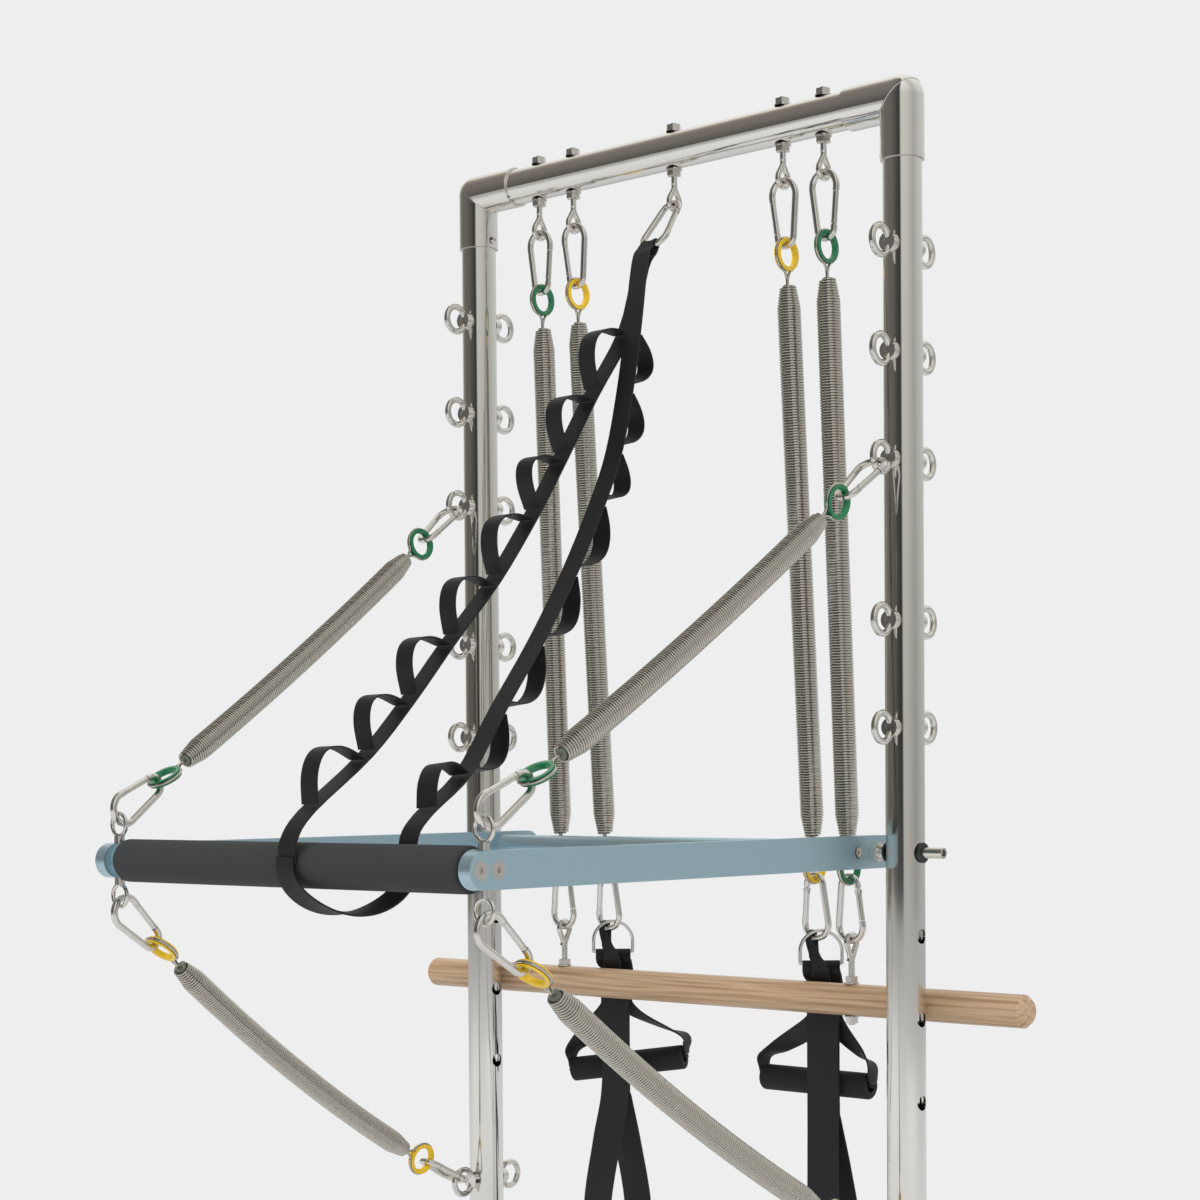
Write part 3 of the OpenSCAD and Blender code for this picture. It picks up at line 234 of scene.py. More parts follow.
stainless, tree, bsdf = material("stainless", (0.80, 0.78, 0.74), 0.09, 1.0)
tree.links.new(ramp(tree, noise(tree, 6, 3), [(0.3, (0.07,)), (0.7, (0.13,))]),
               bsdf.inputs["Roughness"])
dress(stainless, "left_post", "right_post", "crossbar", "left_elbow", "right_elbow")
fittings, tree, bsdf = material("fittings", (0.76, 0.73, 0.69), 0.14, 1.0)
tree.links.new(ramp(tree, noise(tree, 40, 3), [(0.3, (0.10,)), (0.7, (0.22,))]),
               bsdf.inputs["Roughness"])
dress(fittings, "left_eye_nuts", "right_eye_nuts", "eye_nut_studs", "elbow_screws",
      "crossbar_nuts", "crossbar_washers", "arm_screws", "arm_eyes", "pivot_pins",
      "pivot_nuts", "dowel_nuts", "left_d_ring", "right_d_ring", "safety_gate",
      "left_low_gate", "right_low_gate", "left_gate", "right_gate")
black_plastic, tree, bsdf = material("black_plastic", (0.015, 0.015, 0.016), 0.45)
dress(black_plastic, "pivot_bushes")

# Wire eyes.
# Bent-wire eye bolts through the crossbar and through the roll bar: a shank, a neck where
# the wire's end lies against it, and a drop-shaped loop. Sizes are in millimetres.
MM = 0.001


def unit(v):
    """The vector's direction, with length 1."""
    v = np.array(v, float)
    return v / np.linalg.norm(v)


def sweep(path, section, sides=None, closed=False):
    """Mesh data of a cross-section carried along a path; sides gives each point's width
    direction, and without it the section turns as little as it can."""
    path = [np.array(p, float) for p in path]
    n = len(path)
    verts, u = [], None
    for i, p in enumerate(path):
        before = path[(i - 1) % n] if closed or i else path[0]
        after = path[(i + 1) % n] if closed or i < n - 1 else path[-1]
        t = unit(after - before)
        if sides is not None:
            u = unit(np.array(sides[i]) - t * np.dot(t, sides[i]))
        else:
            if u is None:
                u = np.cross(t, [0.3, 0.9, 0.31])
            u = unit(u - t * np.dot(t, u))
        v = np.cross(t, u)
        verts += [p + u * a + v * b for a, b in section]
    m = len(section)
    faces = [(i * m + k, i * m + (k + 1) % m, ((i + 1) % n) * m + (k + 1) % m,
              ((i + 1) % n) * m + k) for i in range(n if closed else n - 1) for k in range(m)]
    if not closed:
        faces += [tuple(range(m))[::-1], tuple((n - 1) * m + k for k in range(m))]
    return verts, faces


def round_section(r, sides=14):
    """Round section of a wire or rod."""
    return [(r * math.cos(2 * math.pi * k / sides), r * math.sin(2 * math.pi * k / sides))
            for k in range(sides)]


def arc(cx, cz, r, start, end, steps):
    """Points of an arc in the XZ plane, angles in degrees."""
    return [(cx + r * math.cos(math.radians(a)), 0, cz + r * math.sin(math.radians(a)))
            for a in np.linspace(start, end, steps)]


def join(parts):
    """Several shapes' mesh data as one."""
    verts, faces = [], []
    for v, f in parts:
        base = len(verts)
        verts += list(v)
        faces += [tuple(base + i for i in one) for one in f]
    return verts, faces


def placed(data, at, pull, side):
    """Shape set at a point, its -Z along the pull of the chain it hangs in."""
    z = -unit(pull)
    y = unit(np.cross(z, side))
    x = np.cross(y, z)
    verts = [np.array(at) + x * p[0] + y * p[1] + z * p[2] for p in data[0]]
    return verts, data[1]


def piece(name, data, shader, body=None, stands_for=(), sharp=42):
    """Object from millimetre mesh data, with its material, body and CAD nodes."""
    mesh = bpy.data.meshes.new(name)
    mesh.from_pydata([tuple(float(c) * MM for c in v) for v in data[0]], [], data[1])
    mesh.validate()
    solid = bmesh.new()
    solid.from_mesh(mesh)
    bmesh.ops.recalc_face_normals(solid, faces=solid.faces)
    solid.to_mesh(mesh)
    solid.free()
    mesh.materials.append(shader)
    for polygon in mesh.polygons:
        polygon.use_smooth = True
    mesh.set_sharp_from_angle(angle=math.radians(sharp))
    o = bpy.data.objects.new(name, mesh)
    bpy.context.collection.objects.link(o)
    if stands_for:
        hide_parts(*stands_for)
    if body:
        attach(o, body)
    return o


# Loop's radius to the wire's middle, wire's thickness, neck's height, shank's radius
EYE_R, EYE_WIRE, NECK, BOLT_R = 9.25, 6.5, 15.5, 3.5


def smooth_path(points, steps=6):
    """Catmull-Rom curve through points."""
    p = [np.array(q, float) for q in points]
    p = [2 * p[0] - p[1]] + p + [2 * p[-1] - p[-2]]
    out = []
    for i in range(1, len(p) - 2):
        a, b, c, d = p[i - 1:i + 3]
        for k in range(steps):
            t = k / steps
            out.append(0.5 * (2 * b + (c - a) * t + (2 * a - 5 * b + 4 * c - d) * t * t
                              + (3 * b - a - 3 * c + d) * t ** 3))
    return out + [p[-2]]


def wire_eye(shank):
    """Loop bent from the shank's own wire, its end laid against the neck."""
    a = math.degrees(math.acos(EYE_R / NECK))
    loop = arc(0, 0, EYE_R, 90 - a, -270 + a, 28)
    path = smooth_path([(0.2, 0, NECK + 6), (1.3, 0.6, NECK + 0.5)] + loop
                       + [(-1.5, -0.8, NECK), (-2.2, -2.0, NECK + 6)], 3)
    rod = [(0, 0, NECK + 1), (0, 0, NECK + 3), (0, 0, shank - 1), (0, 0, shank)]
    return join([sweep(path, round_section(EYE_WIRE / 2)), sweep(rod, round_section(BOLT_R, 18))])


CROSSBAR_Z, TOP_EYE_Z = 1411, 1351.5
TUBE_R, DOWEL_R, DOWEL_Z = 21.2, 18, 432
DOWEL_GAP, THREAD_OUT = 0.5, 10
DOWEL_Y = TUBE_R + DOWEL_GAP + DOWEL_R
LOW_EYE_Z = DOWEL_Z + 64.4
# The row of eyes: the roll bar's outside, the handles' inside, the safety strap's middle
ROLL_X, HAND_X = 214, 158
LOW_EYE_X = ROLL_X + 4
BOTH = (-1, 1)
piece("crossbar_wire_eyes", join([
    placed(wire_eye(CROSSBAR_Z + TUBE_R + THREAD_OUT - TOP_EYE_Z), (x, 0, TOP_EYE_Z),
           (0, 0, -1), (0, 1, 0)) for x in (-ROLL_X, -HAND_X, 0, HAND_X, ROLL_X)]),
    fittings, "frame", ["crossbar_eyes"])
piece("roll_bar_wire_eyes", join([
    placed(wire_eye(LOW_EYE_Z - DOWEL_Z + DOWEL_R + THREAD_OUT),
           (s * LOW_EYE_X, DOWEL_Y, LOW_EYE_Z), (0, 0, 1), (0, 1, 0)) for s in BOTH]),
    fittings, "roll_bar", ["dowel_eyes"])

# Elbow welds.
# A thin polished bead runs round each elbow where the post's and the crossbar's tubes
# meet in a mitre.
POST_X, SLEEVE_R, BEAD_R = 318, 23.95, 0.7


def weld(a):
    """Way out of the weld bead along the mitre; outside, the elbow's corner is rounded."""
    return SLEEVE_R * math.cos(a) * (1 if math.cos(a) < 0 else math.sqrt(0.5))


piece("elbow_welds", join([sweep(
    [(s * (POST_X + weld(a)), SLEEVE_R * math.sin(a), CROSSBAR_Z + weld(a))
     for a in np.linspace(0, 2 * math.pi, 48, endpoint=False)], round_section(BEAD_R, 6), closed=True)
    for s in BOTH]), fittings, "frame")

# Carabiners.
# Pear-shaped hooks of 7.5 mm steel wire, 80 mm long, with a spring gate that turns on a
# rivet on one leg. They join the eyes, the springs' thimbles and the webbing.
# Length between the wire's middles at both ends, the wire's radius, and the two bends'.
HOOK_LEN, HOOK_R, WIDE_R, NARROW_R = 72.5, 3.75, 16.25, 11
HOOK_C = HOOK_LEN - WIDE_R - NARROW_R
LEAN = math.asin((WIDE_R - NARROW_R) / HOOK_C)
LEG = HOOK_C * math.cos(LEAN)
GATE_FROM, GATE_TO = 7.5, LEG - 5
GATE_R, RIVET_R, RIVET_HALF = 3.35, 1.5, 3.7


def as_hung(points):
    """From the outline's frame, wide end at the bottom, to the chain's, wide end on top."""
    return [(x, -y, -WIDE_R - z) for x, y, z in points]


def on_leg(t):
    """Point on the gate's leg, t along it from the wide end."""
    c, s = math.cos(LEAN), math.sin(LEAN)
    return (WIDE_R * c - t * s, 0, WIDE_R * s + t * c)


def hook_body():
    """Bent wire from the nose round to the gate's hinge, with its tongue and rivet."""
    lean = math.degrees(LEAN)
    path = ([on_leg(LEG - GATE_TO - 0.2), on_leg(LEG - GATE_TO - 2.5)]
            + arc(0, 0, WIDE_R, lean, -180 - lean, 34)
            + arc(0, HOOK_C, NARROW_R, 180 - lean, lean, 24)
            + [on_leg(LEG - GATE_FROM + 5), on_leg(LEG - GATE_FROM + HOOK_R + 0.3)])
    tongue = [on_leg(LEG - GATE_FROM + HOOK_R + 1), on_leg(LEG - GATE_FROM - 2)]
    hinge_x, _, hinge_z = on_leg(LEG - GATE_FROM)
    rivet = [(hinge_x, y, hinge_z) for y in (-RIVET_HALF, 0.2 - RIVET_HALF,
                                             RIVET_HALF - 0.2, RIVET_HALF)]
    parts = [sweep(as_hung(path), round_section(HOOK_R)),
             sweep(as_hung(tongue), [(-2, -1.1), (2, -1.1), (2, 1.1), (-2, 1.1)],
                   sides=[(1, 0, 0)] * 2),
             sweep(as_hung(rivet), round_section(RIVET_R, 12))]
    return join(parts)


def hook_gate():
    """Gate tube between the nose and the hinge's tongue."""
    nose, hinge = LEG - GATE_TO, LEG - GATE_FROM
    tube = [on_leg(t) for t in (nose + 0.4, nose + 1.2, hinge + 1.5, hinge + 3.0)]
    return sweep(as_hung(tube), round_section(GATE_R))


def hook(at, pull, side, gate=True):
    """Carabiner with its wide end at a point; without a gate the CAD's own gate shows."""
    shape = join([hook_body(), hook_gate()]) if gate else hook_body()
    return placed(shape, at, pull, side)


def on_side(s, p):
    """Point or direction on the left side for s = -1, on the right for s = 1."""
    return np.array([s * p[0], p[1], p[2]], float)


# Where each chain starts and ends: posts' eye nuts, arms' eyes, thimbles, and the play
# that a hook's wire keeps in its seat
PIVOT_Z, ARM_X, REACH, ARM_HALF = 600, 268.5, 600, 18
NUT_RING_R, NUT_WIRE_R, NUT_STAND = 15.25, 3.75, 19
ARM_EYE_R, ARM_EYE_WIRE_R, ARM_EYE_FOOT = 11.75, 2.25, 5.5
THIMBLE_HOLE_R, PLAY = 13.5, 0.2
NUT_Y = TUBE_R + 0.8 + NUT_STAND + 0.5
EYE_SEAT = EYE_R - EYE_WIRE / 2 - HOOK_R - PLAY
NUT_SEAT = NUT_RING_R - NUT_WIRE_R - HOOK_R - PLAY
ARM_SEAT = -HOOK_R - ARM_EYE_WIRE_R - PLAY
ARM_RISE = ARM_HALF + ARM_EYE_FOOT + 2 * ARM_EYE_R + ARM_EYE_WIRE_R
THIMBLE_SEAT = THIMBLE_HOLE_R - HOOK_R - 3 * PLAY
UP_NUT_Z, LOW_NUT_Z = 1022.5, 180
HAND_Y, HAND_Z = 57, 498.3
SAG_UP, SAG_LOW, END_DIP, COIL_DIP = 14, 28, 3.25, 0.4
up_nut = np.array([POST_X, -NUT_Y, UP_NUT_Z])
up_eye = np.array([ARM_X, -REACH, PIVOT_Z + ARM_RISE])
low_nut = np.array([POST_X, -NUT_Y, LOW_NUT_Z])
low_eye = np.array([ARM_X, -REACH, PIVOT_Z - ARM_RISE])
up_nut_pull = unit(up_eye - up_nut + [0, 0, -END_DIP * SAG_UP])
up_eye_pull = unit(up_nut - up_eye + [0, 0, -END_DIP * SAG_UP])
low_nut_pull = unit(low_eye - low_nut + [0, 0, -END_DIP * SAG_LOW])
low_eye_pull = unit(low_nut - low_eye + [0, 0, -END_DIP * SAG_LOW])
roll_top = np.array([ROLL_X, 0, TOP_EYE_Z])
roll_low = np.array([LOW_EYE_X, DOWEL_Y, LOW_EYE_Z])
hand_top = np.array([HAND_X, 0, TOP_EYE_Z])
hand_low = np.array([HAND_X, HAND_Y, HAND_Z])
roll_pull, hand_pull = unit(roll_low - roll_top), unit(hand_low - hand_top)
safety_pull = unit([0.02, -0.62, -0.785])
safety_seat = np.array([0, 0, TOP_EYE_Z]) + safety_pull * (EYE_SEAT + HOOK_LEN)
SIDE_X, SIDE_Y, SIDE_Z = (1, 0, 0), (0, 1, 0), (0, 0, 1)
piece("post_carabiners", join(
    [hook(on_side(s, a + d * NUT_SEAT), on_side(s, d), SIDE_X)
     for s in BOTH for a, d in ((up_nut, up_nut_pull), (low_nut, low_nut_pull))]),
    fittings, "frame", ["post_hooks"])
piece("safety_carabiner", hook(safety_seat, -safety_pull, SIDE_X, gate=False), fittings, "frame",
      ["safety_hook"])
piece("bar_carabiners", join(
    [hook(on_side(s, b + d * ARM_SEAT), on_side(s, d), SIDE_Z)
     for s in BOTH for b, d in ((up_eye, up_eye_pull), (low_eye, low_eye_pull))]),
    fittings, "push_bar", ["bar_hooks"])
piece("top_carabiners", join(
    [hook(on_side(s, roll_top + roll_pull * EYE_SEAT), on_side(s, roll_pull), SIDE_X)
     for s in BOTH]
    + [hook(on_side(s, hand_top + hand_pull * EYE_SEAT), on_side(s, hand_pull), (-1, 0, 0))
       for s in BOTH]),
    fittings, "hanging", ["top_hooks"])
piece("low_carabiners", join(
    [hook(on_side(s, roll_low - roll_pull * EYE_SEAT), on_side(s, -roll_pull), SIDE_X, gate=False)
     for s in BOTH]), fittings, "roll_bar", ["low_hooks"])
for s, side in ((-1, "left"), (1, "right")):
    piece(f"{side}_handle_carabiner",
          hook(on_side(s, hand_low), on_side(s, -hand_pull), (-1, 0, 0), gate=False),
          fittings, f"{side}_handle", [f"{side}_hook"])

# Springs.
# Close-wound extension springs: the coil closes in at both ends round a dark plug, out
# of which comes the swivel eye whose wire loop holds a grooved plastic thimble.
spring_steel, tree, bsdf = material("spring_steel", (0.56, 0.53, 0.475), 0.10, 1.0)
green, tree, bsdf = material("green", (0.008, 0.19, 0.075), 0.3, coat=0.3)
yellow, tree, bsdf = material("yellow", (0.92, 0.60, 0.012), 0.3, coat=0.3)
plug_black, tree, bsdf = material("plug", (0.17, 0.185, 0.145), 0.5)
dress(green, "green_post_thimbles", "green_bar_thimbles", "green_top_thimbles", "low_thimbles")
dress(yellow, "yellow_post_thimbles", "yellow_bar_thimbles", "yellow_top_thimbles",
      "left_thimble", "right_thimble")
# Swivel loop and its neck, plug, the coil's radius in the middle and at its ends, its wire
RING_R, NECK_LEN, PLUG_LEN, COIL_R, COIL_END_R, COIL_WIRE = 18.7, 17, 9, 12, 8, 2.9
LOOP_WIRE, TAPER, COIL_PITCH = 3.2, 24, 3.02


def coil_group():
    """Geometry nodes: a wound wire from z 0 to Length that closes in at both ends."""
    g = bpy.data.node_groups.new("wound_coil", "GeometryNodeTree")
    sockets = g.interface
    for name, kind, value in (("Length", "NodeSocketFloat", 0.4), ("Turns", "NodeSocketFloat", 100),
                              ("Radius", "NodeSocketFloat", 0.012),
                              ("End Radius", "NodeSocketFloat", 0.008),
                              ("Taper", "NodeSocketFloat", 0.024),
                              ("Wire", "NodeSocketFloat", 0.0015)):
        sockets.new_socket(name, in_out="INPUT", socket_type=kind).default_value = value
    sockets.new_socket("Material", in_out="INPUT", socket_type="NodeSocketMaterial")
    sockets.new_socket("Geometry", in_out="OUTPUT", socket_type="NodeSocketGeometry")
    inputs, out = g.nodes.new("NodeGroupInput"), g.nodes.new("NodeGroupOutput")
    link = g.links.new
    spiral = g.nodes.new("GeometryNodeCurveSpiral")
    spiral.inputs["Resolution"].default_value = 18
    link(inputs.outputs["Turns"], spiral.inputs["Rotations"])
    link(inputs.outputs["Length"], spiral.inputs["Height"])
    spiral.inputs["Start Radius"].default_value = 1
    spiral.inputs["End Radius"].default_value = 1
    where = g.nodes.new("GeometryNodeInputPosition")
    parts = g.nodes.new("ShaderNodeSeparateXYZ")
    link(where.outputs[0], parts.inputs[0])

    def maths(operation, a, b):
        n = g.nodes.new("ShaderNodeMath")
        n.operation = operation
        for socket, value in zip(n.inputs, (a, b)):
            if isinstance(value, (int, float)):
                socket.default_value = value
            else:
                link(value, socket)
        return n.outputs[0]

    rest = maths("SUBTRACT", inputs.outputs["Length"], parts.outputs[2])
    near = maths("MINIMUM", parts.outputs[2], rest)
    share = maths("MINIMUM", maths("DIVIDE", near, inputs.outputs["Taper"]), 1)
    grow = maths("SUBTRACT", inputs.outputs["Radius"], inputs.outputs["End Radius"])
    radius = maths("ADD", inputs.outputs["End Radius"], maths("MULTIPLY", share, grow))
    joined = g.nodes.new("ShaderNodeCombineXYZ")
    link(maths("MULTIPLY", parts.outputs[0], radius), joined.inputs[0])
    link(maths("MULTIPLY", parts.outputs[1], radius), joined.inputs[1])
    link(parts.outputs[2], joined.inputs[2])
    moved = g.nodes.new("GeometryNodeSetPosition")
    link(spiral.outputs[0], moved.inputs["Geometry"])
    link(joined.outputs[0], moved.inputs["Position"])
    ring = g.nodes.new("GeometryNodeCurvePrimitiveCircle")
    ring.inputs["Resolution"].default_value = 7
    link(inputs.outputs["Wire"], ring.inputs["Radius"])
    solid = g.nodes.new("GeometryNodeCurveToMesh")
    link(moved.outputs[0], solid.inputs["Curve"])
    link(ring.outputs[0], solid.inputs["Profile Curve"])
    solid.inputs["Fill Caps"].default_value = True
    real = g.nodes.new("GeometryNodeRealizeInstances")
    link(solid.outputs[0], real.inputs[0])
    tint = g.nodes.new("GeometryNodeSetMaterial")
    link(real.outputs[0], tint.inputs["Geometry"])
    link(inputs.outputs["Material"], tint.inputs["Material"])
    link(tint.outputs[0], out.inputs[0])
    return g


coils = coil_group()


def wound(length, name):
    """Baked coil of a length in millimetres, as mesh data standing on z 0."""
    mesh = bpy.data.meshes.new(name)
    o = bpy.data.objects.new(name, mesh)
    bpy.context.collection.objects.link(o)
    modifier = o.modifiers.new("coil", "NODES")
    modifier.node_group = coils
    values = {"Length": length * MM, "Turns": round(length / COIL_PITCH), "Radius": COIL_R * MM,
              "End Radius": COIL_END_R * MM, "Taper": TAPER * MM, "Wire": COIL_WIRE / 2 * MM,
              "Material": spring_steel}
    for item in coils.interface.items_tree:
        if item.item_type == "SOCKET" and item.in_out == "INPUT":
            modifier[item.identifier] = values[item.name]
    bpy.context.view_layer.update()
    view = bpy.context.evaluated_depsgraph_get()
    baked = bpy.data.meshes.new_from_object(o.evaluated_get(view))
    verts = np.array([v.co for v in baked.vertices]) / MM
    faces = [tuple(p.vertices) for p in baked.polygons]
    bpy.data.objects.remove(o)
    bpy.data.meshes.remove(mesh)
    bpy.data.meshes.remove(baked)
    return verts, faces


def coil_between(a, b, sag, name):
    """Wound coil from a to b with a parabola's sag."""
    a, b = np.array(a, float), np.array(b, float)
    span = np.linalg.norm(b - a)
    verts, faces = wound(span, name)
    s = verts[:, 2:3] / span
    z = unit(b - a)
    x = unit(np.cross(z, [1, 0.1, 0]))
    y = np.cross(z, x)
    slope = -4 * sag * (1 - 2 * s) / span
    drop = np.array([0, 0, 1]) - z * z[2]
    middle = a + (b - a) * s + drop * (-4 * sag * s * (1 - s))
    off = verts[:, :1] * x + verts[:, 1:2] * y
    turned = off - z * (off @ drop)[:, None] * slope
    return middle + turned, faces


def swivel_eye():
    """Wire loop round the thimble, closing in a neck on one side."""
    a = 17
    loop = arc(0, 0, RING_R, -90 + a, 270 - a, 44)
    path = smooth_path([(0.4, 0.4, -RING_R - NECK_LEN - 2), (0.6, 0.3, -RING_R - 8)] + loop
                       + [(-1.9, -0.4, -RING_R - 7.5), (-1.6, -0.5, -RING_R - NECK_LEN - 2)], 3)
    return sweep(path, round_section(LOOP_WIRE / 2, 10))


def plug():
    """Dark plug that closes the coil's end round the swivel eye."""
    z = -RING_R - NECK_LEN
    rim = [(0, 0, z + 0.8), (0, 0, z + 0.2), (0, 0, z - PLUG_LEN)]
    return sweep(rim, round_section(COIL_END_R - COIL_WIRE / 2 - 0.2, 20))


def reach(seat, far):
    """Way from a chain's start to its thimble, or past it to the coil's first turn."""
    return seat + HOOK_LEN + THIMBLE_SEAT + (RING_R + NECK_LEN if far else 0)


def spring_parts(s, a, da, seat_a, side_a, b, db, seat_b, side_b, sag, name):
    """Coil with its two swivel eyes, and its two plugs, between the chains that start at
    a and b and pull along da and db."""
    ends = [(on_side(s, a + da * reach(seat_a, False)), on_side(s, da), side_a),
            (on_side(s, b + db * reach(seat_b, False)), on_side(s, db), side_b)]
    wires = [placed(swivel_eye(), at, d, side) for at, d, side in ends]
    plugs = [placed(plug(), at, d, side) for at, d, side in ends]
    coil = coil_between(on_side(s, a + da * reach(seat_a, True)),
                        on_side(s, b + db * reach(seat_b, True)), sag, name)
    return join([coil] + wires), join(plugs)


def spring(name, parts, plug_parts, stands_for):
    """Spring and its plugs as two fixed meshes, placed between two bodies."""
    made = [piece(name, parts, spring_steel, stands_for=stands_for, sharp=80),
            piece(name + "_plugs", plug_parts, plug_black)]
    for o in made:
        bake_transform(o)


# Takes a place on the right side to the plane between both sides
for name, node_name, chain in (
        ("upper_side_springs", "upper_springs",
         (up_nut, up_nut_pull, up_eye, up_eye_pull, SAG_UP)),
        ("lower_side_springs", "lower_springs",
         (low_nut, low_nut_pull, low_eye, low_eye_pull, SAG_LOW))):
    a, da, b, db, sag = chain
    pair = [spring_parts(s, a, da, NUT_SEAT, SIDE_Y, b, db, ARM_SEAT, SIDE_X,
                         sag * COIL_DIP, name) for s in BOTH]
    spring(name, join([p[0] for p in pair]), join([p[1] for p in pair]), [node_name])
pair = [spring_parts(s, roll_top, roll_pull, EYE_SEAT, SIDE_Y, roll_low, -roll_pull, EYE_SEAT,
                     SIDE_Y, 0, "roll_bar_springs") for s in BOTH]
spring("roll_bar_springs", join([p[0] for p in pair]), join([p[1] for p in pair]),
       ["roll_springs"])
for s, side in ((-1, "left"), (1, "right")):
    parts, plugs = spring_parts(s, hand_top, hand_pull, EYE_SEAT, SIDE_Y, hand_low, -hand_pull, 0,
                                SIDE_Y, 0, f"{side}_handle_spring")
    spring(f"{side}_handle_spring", parts, plugs, [f"{side}_spring"])

# Push-through bar.
# Two flat arms and two cross tubes of pale blue anodised aluminium on pivot pins in the
# posts, with a closed-cell foam sleeve pushed over the front tube.
anodised, tree, bsdf = material("anodised", (0.42, 0.585, 0.655), 0.34, 0.8)
tree.links.new(ramp(tree, noise(tree, 300, 2), [(0.3, (0.30,)), (0.7, (0.40,))]),
               bsdf.inputs["Roughness"])
dress(anodised, "left_arm", "right_arm", "front_tube", "rear_tube")
foam, tree, bsdf = material("foam", (0.040, 0.044, 0.044), 0.85)
bump(tree, bsdf, noise(tree, 900, 3), 0.35, 0.0006)


def tube(length, outer, inner, lip):
    """Open foam tube along X, its rims rounded by lip."""
    rim = [(outer - lip + lip * math.sin(a), lip - lip * math.cos(a))
           for a in np.linspace(0, math.pi / 2, 6)]
    profile = ([(inner, 0)] + rim + [(r, length - x) for r, x in reversed(rim)]
               + [(inner, length)])
    sides, m = 64, len(profile)
    verts = [(x - length / 2, r * math.cos(2 * math.pi * k / sides),
              r * math.sin(2 * math.pi * k / sides)) for k in range(sides) for r, x in profile]
    faces = [(k * m + j, ((k + 1) % sides) * m + j, ((k + 1) % sides) * m + (j + 1) % m,
              k * m + (j + 1) % m) for k in range(sides) for j in range(m)]
    return verts, faces


SLEEVE_LEN, FOAM_R, FOAM_BORE_R, FOAM_LIP = 508, 22.5, 19.2, 5
verts, faces = tube(SLEEVE_LEN, FOAM_R, FOAM_BORE_R, FOAM_LIP)
sleeve = piece("front_foam", ([(x, y - REACH, z + PIVOT_Z) for x, y, z in verts], faces), foam,
               "push_bar", ["foam_sleeve"])

# Roll bar.
# Turned hardwood rod with a clear satin varnish, hung on two eye bolts that go right
# through it and have a nut and washer below.
timber, tree, bsdf = material("timber", (0.55, 0.36, 0.2), 0.42, coat=0.15)
grain = noise(tree, 5, 9, (0.7, 26, 26))
tree.links.new(ramp(tree, grain, [(0.3, (0.33, 0.19, 0.10)), (0.45, (0.50, 0.32, 0.18)),
                                  (0.55, (0.62, 0.43, 0.265)), (0.7, (0.42, 0.26, 0.14))]),
               bsdf.inputs["Base Color"])
bump(tree, bsdf, noise(tree, 40, 6, (0.6, 14, 14)), 0.12, 0.0005)
dress(timber, "dowel")

# Handles.
# Black webbing: a doubled band on the D-ring, straps through a foam grip, and a long
# loop that hangs in front of the grip.
webbing, tree, bsdf = material("webbing", (0.008, 0.008, 0.009), 0.6)
bsdf.inputs["Sheen Weight"].default_value = 0.03
bump(tree, bsdf, noise(tree, 700, 2, (1, 1, 2.5)), 0.4, 0.0004)
grip_foam, tree, bsdf = material("grip_foam", (0.010, 0.010, 0.010), 0.75)
bump(tree, bsdf, noise(tree, 900, 3), 0.3, 0.0005)


def band(width, thick):
    """Webbing's section with rounded edges."""
    h, t = width / 2, thick / 2
    return [(-h, -t * 0.3), (-h + 0.5, -t), (-h * 0.33, -t), (h * 0.33, -t), (h - 0.5, -t),
            (h, -t * 0.3), (h, t * 0.3), (h - 0.5, t), (h * 0.33, t), (-h * 0.33, t),
            (-h + 0.5, t), (-h, t * 0.3)]


def ribbon(stations, steps=5):
    """Webbing through (point, width direction, width, thickness) stations, made smooth;
    a fifth value is the push that its edges get per square millimetre from the middle.
    Returns the mesh data and the length of its middle line."""
    points = smooth_path([s[0] for s in stations], steps)
    sides = smooth_path([unit(s[1]) for s in stations], steps)
    sizes = smooth_path([(s[2], s[3], 0) for s in stations], steps)
    dishes = smooth_path([s[4] if len(s) > 4 else (0, 0, 0) for s in stations], steps)
    verts, faces = [], []
    for i, p in enumerate(points):
        t = unit(points[min(i + 1, len(points) - 1)] - points[max(i - 1, 0)])
        u = unit(sides[i] - t * np.dot(t, sides[i]))
        v = np.cross(t, u)
        verts += [p + u * a + v * b + dishes[i] * a * a
                  for a, b in band(sizes[i][0], sizes[i][1])]
    m = len(band(1, 1))
    faces = [(i * m + k, i * m + (k + 1) % m, (i + 1) * m + (k + 1) % m, (i + 1) * m + k)
             for i in range(len(points) - 1) for k in range(m)]
    faces += [tuple(range(m))[::-1], tuple((len(points) - 1) * m + k for k in range(m))]
    length = sum(np.linalg.norm(b - a) for a, b in zip(points, points[1:]))
    return (verts, faces), length


# Height of the D-ring's straight side and its turn, webbing's width, doubled band
RING_BAR, RING_TURN, WEB_W, BAND_T = 468.75, math.radians(41.5), 44, 4.5
DOWEL_BACK = DOWEL_Y + DOWEL_R + 0.3
LOOP_FRONT = DOWEL_BACK + 1.1
LOOP_REAR = LOOP_FRONT + 2.4
BAND_Y = LOOP_REAR + 1.4 + BAND_T / 2
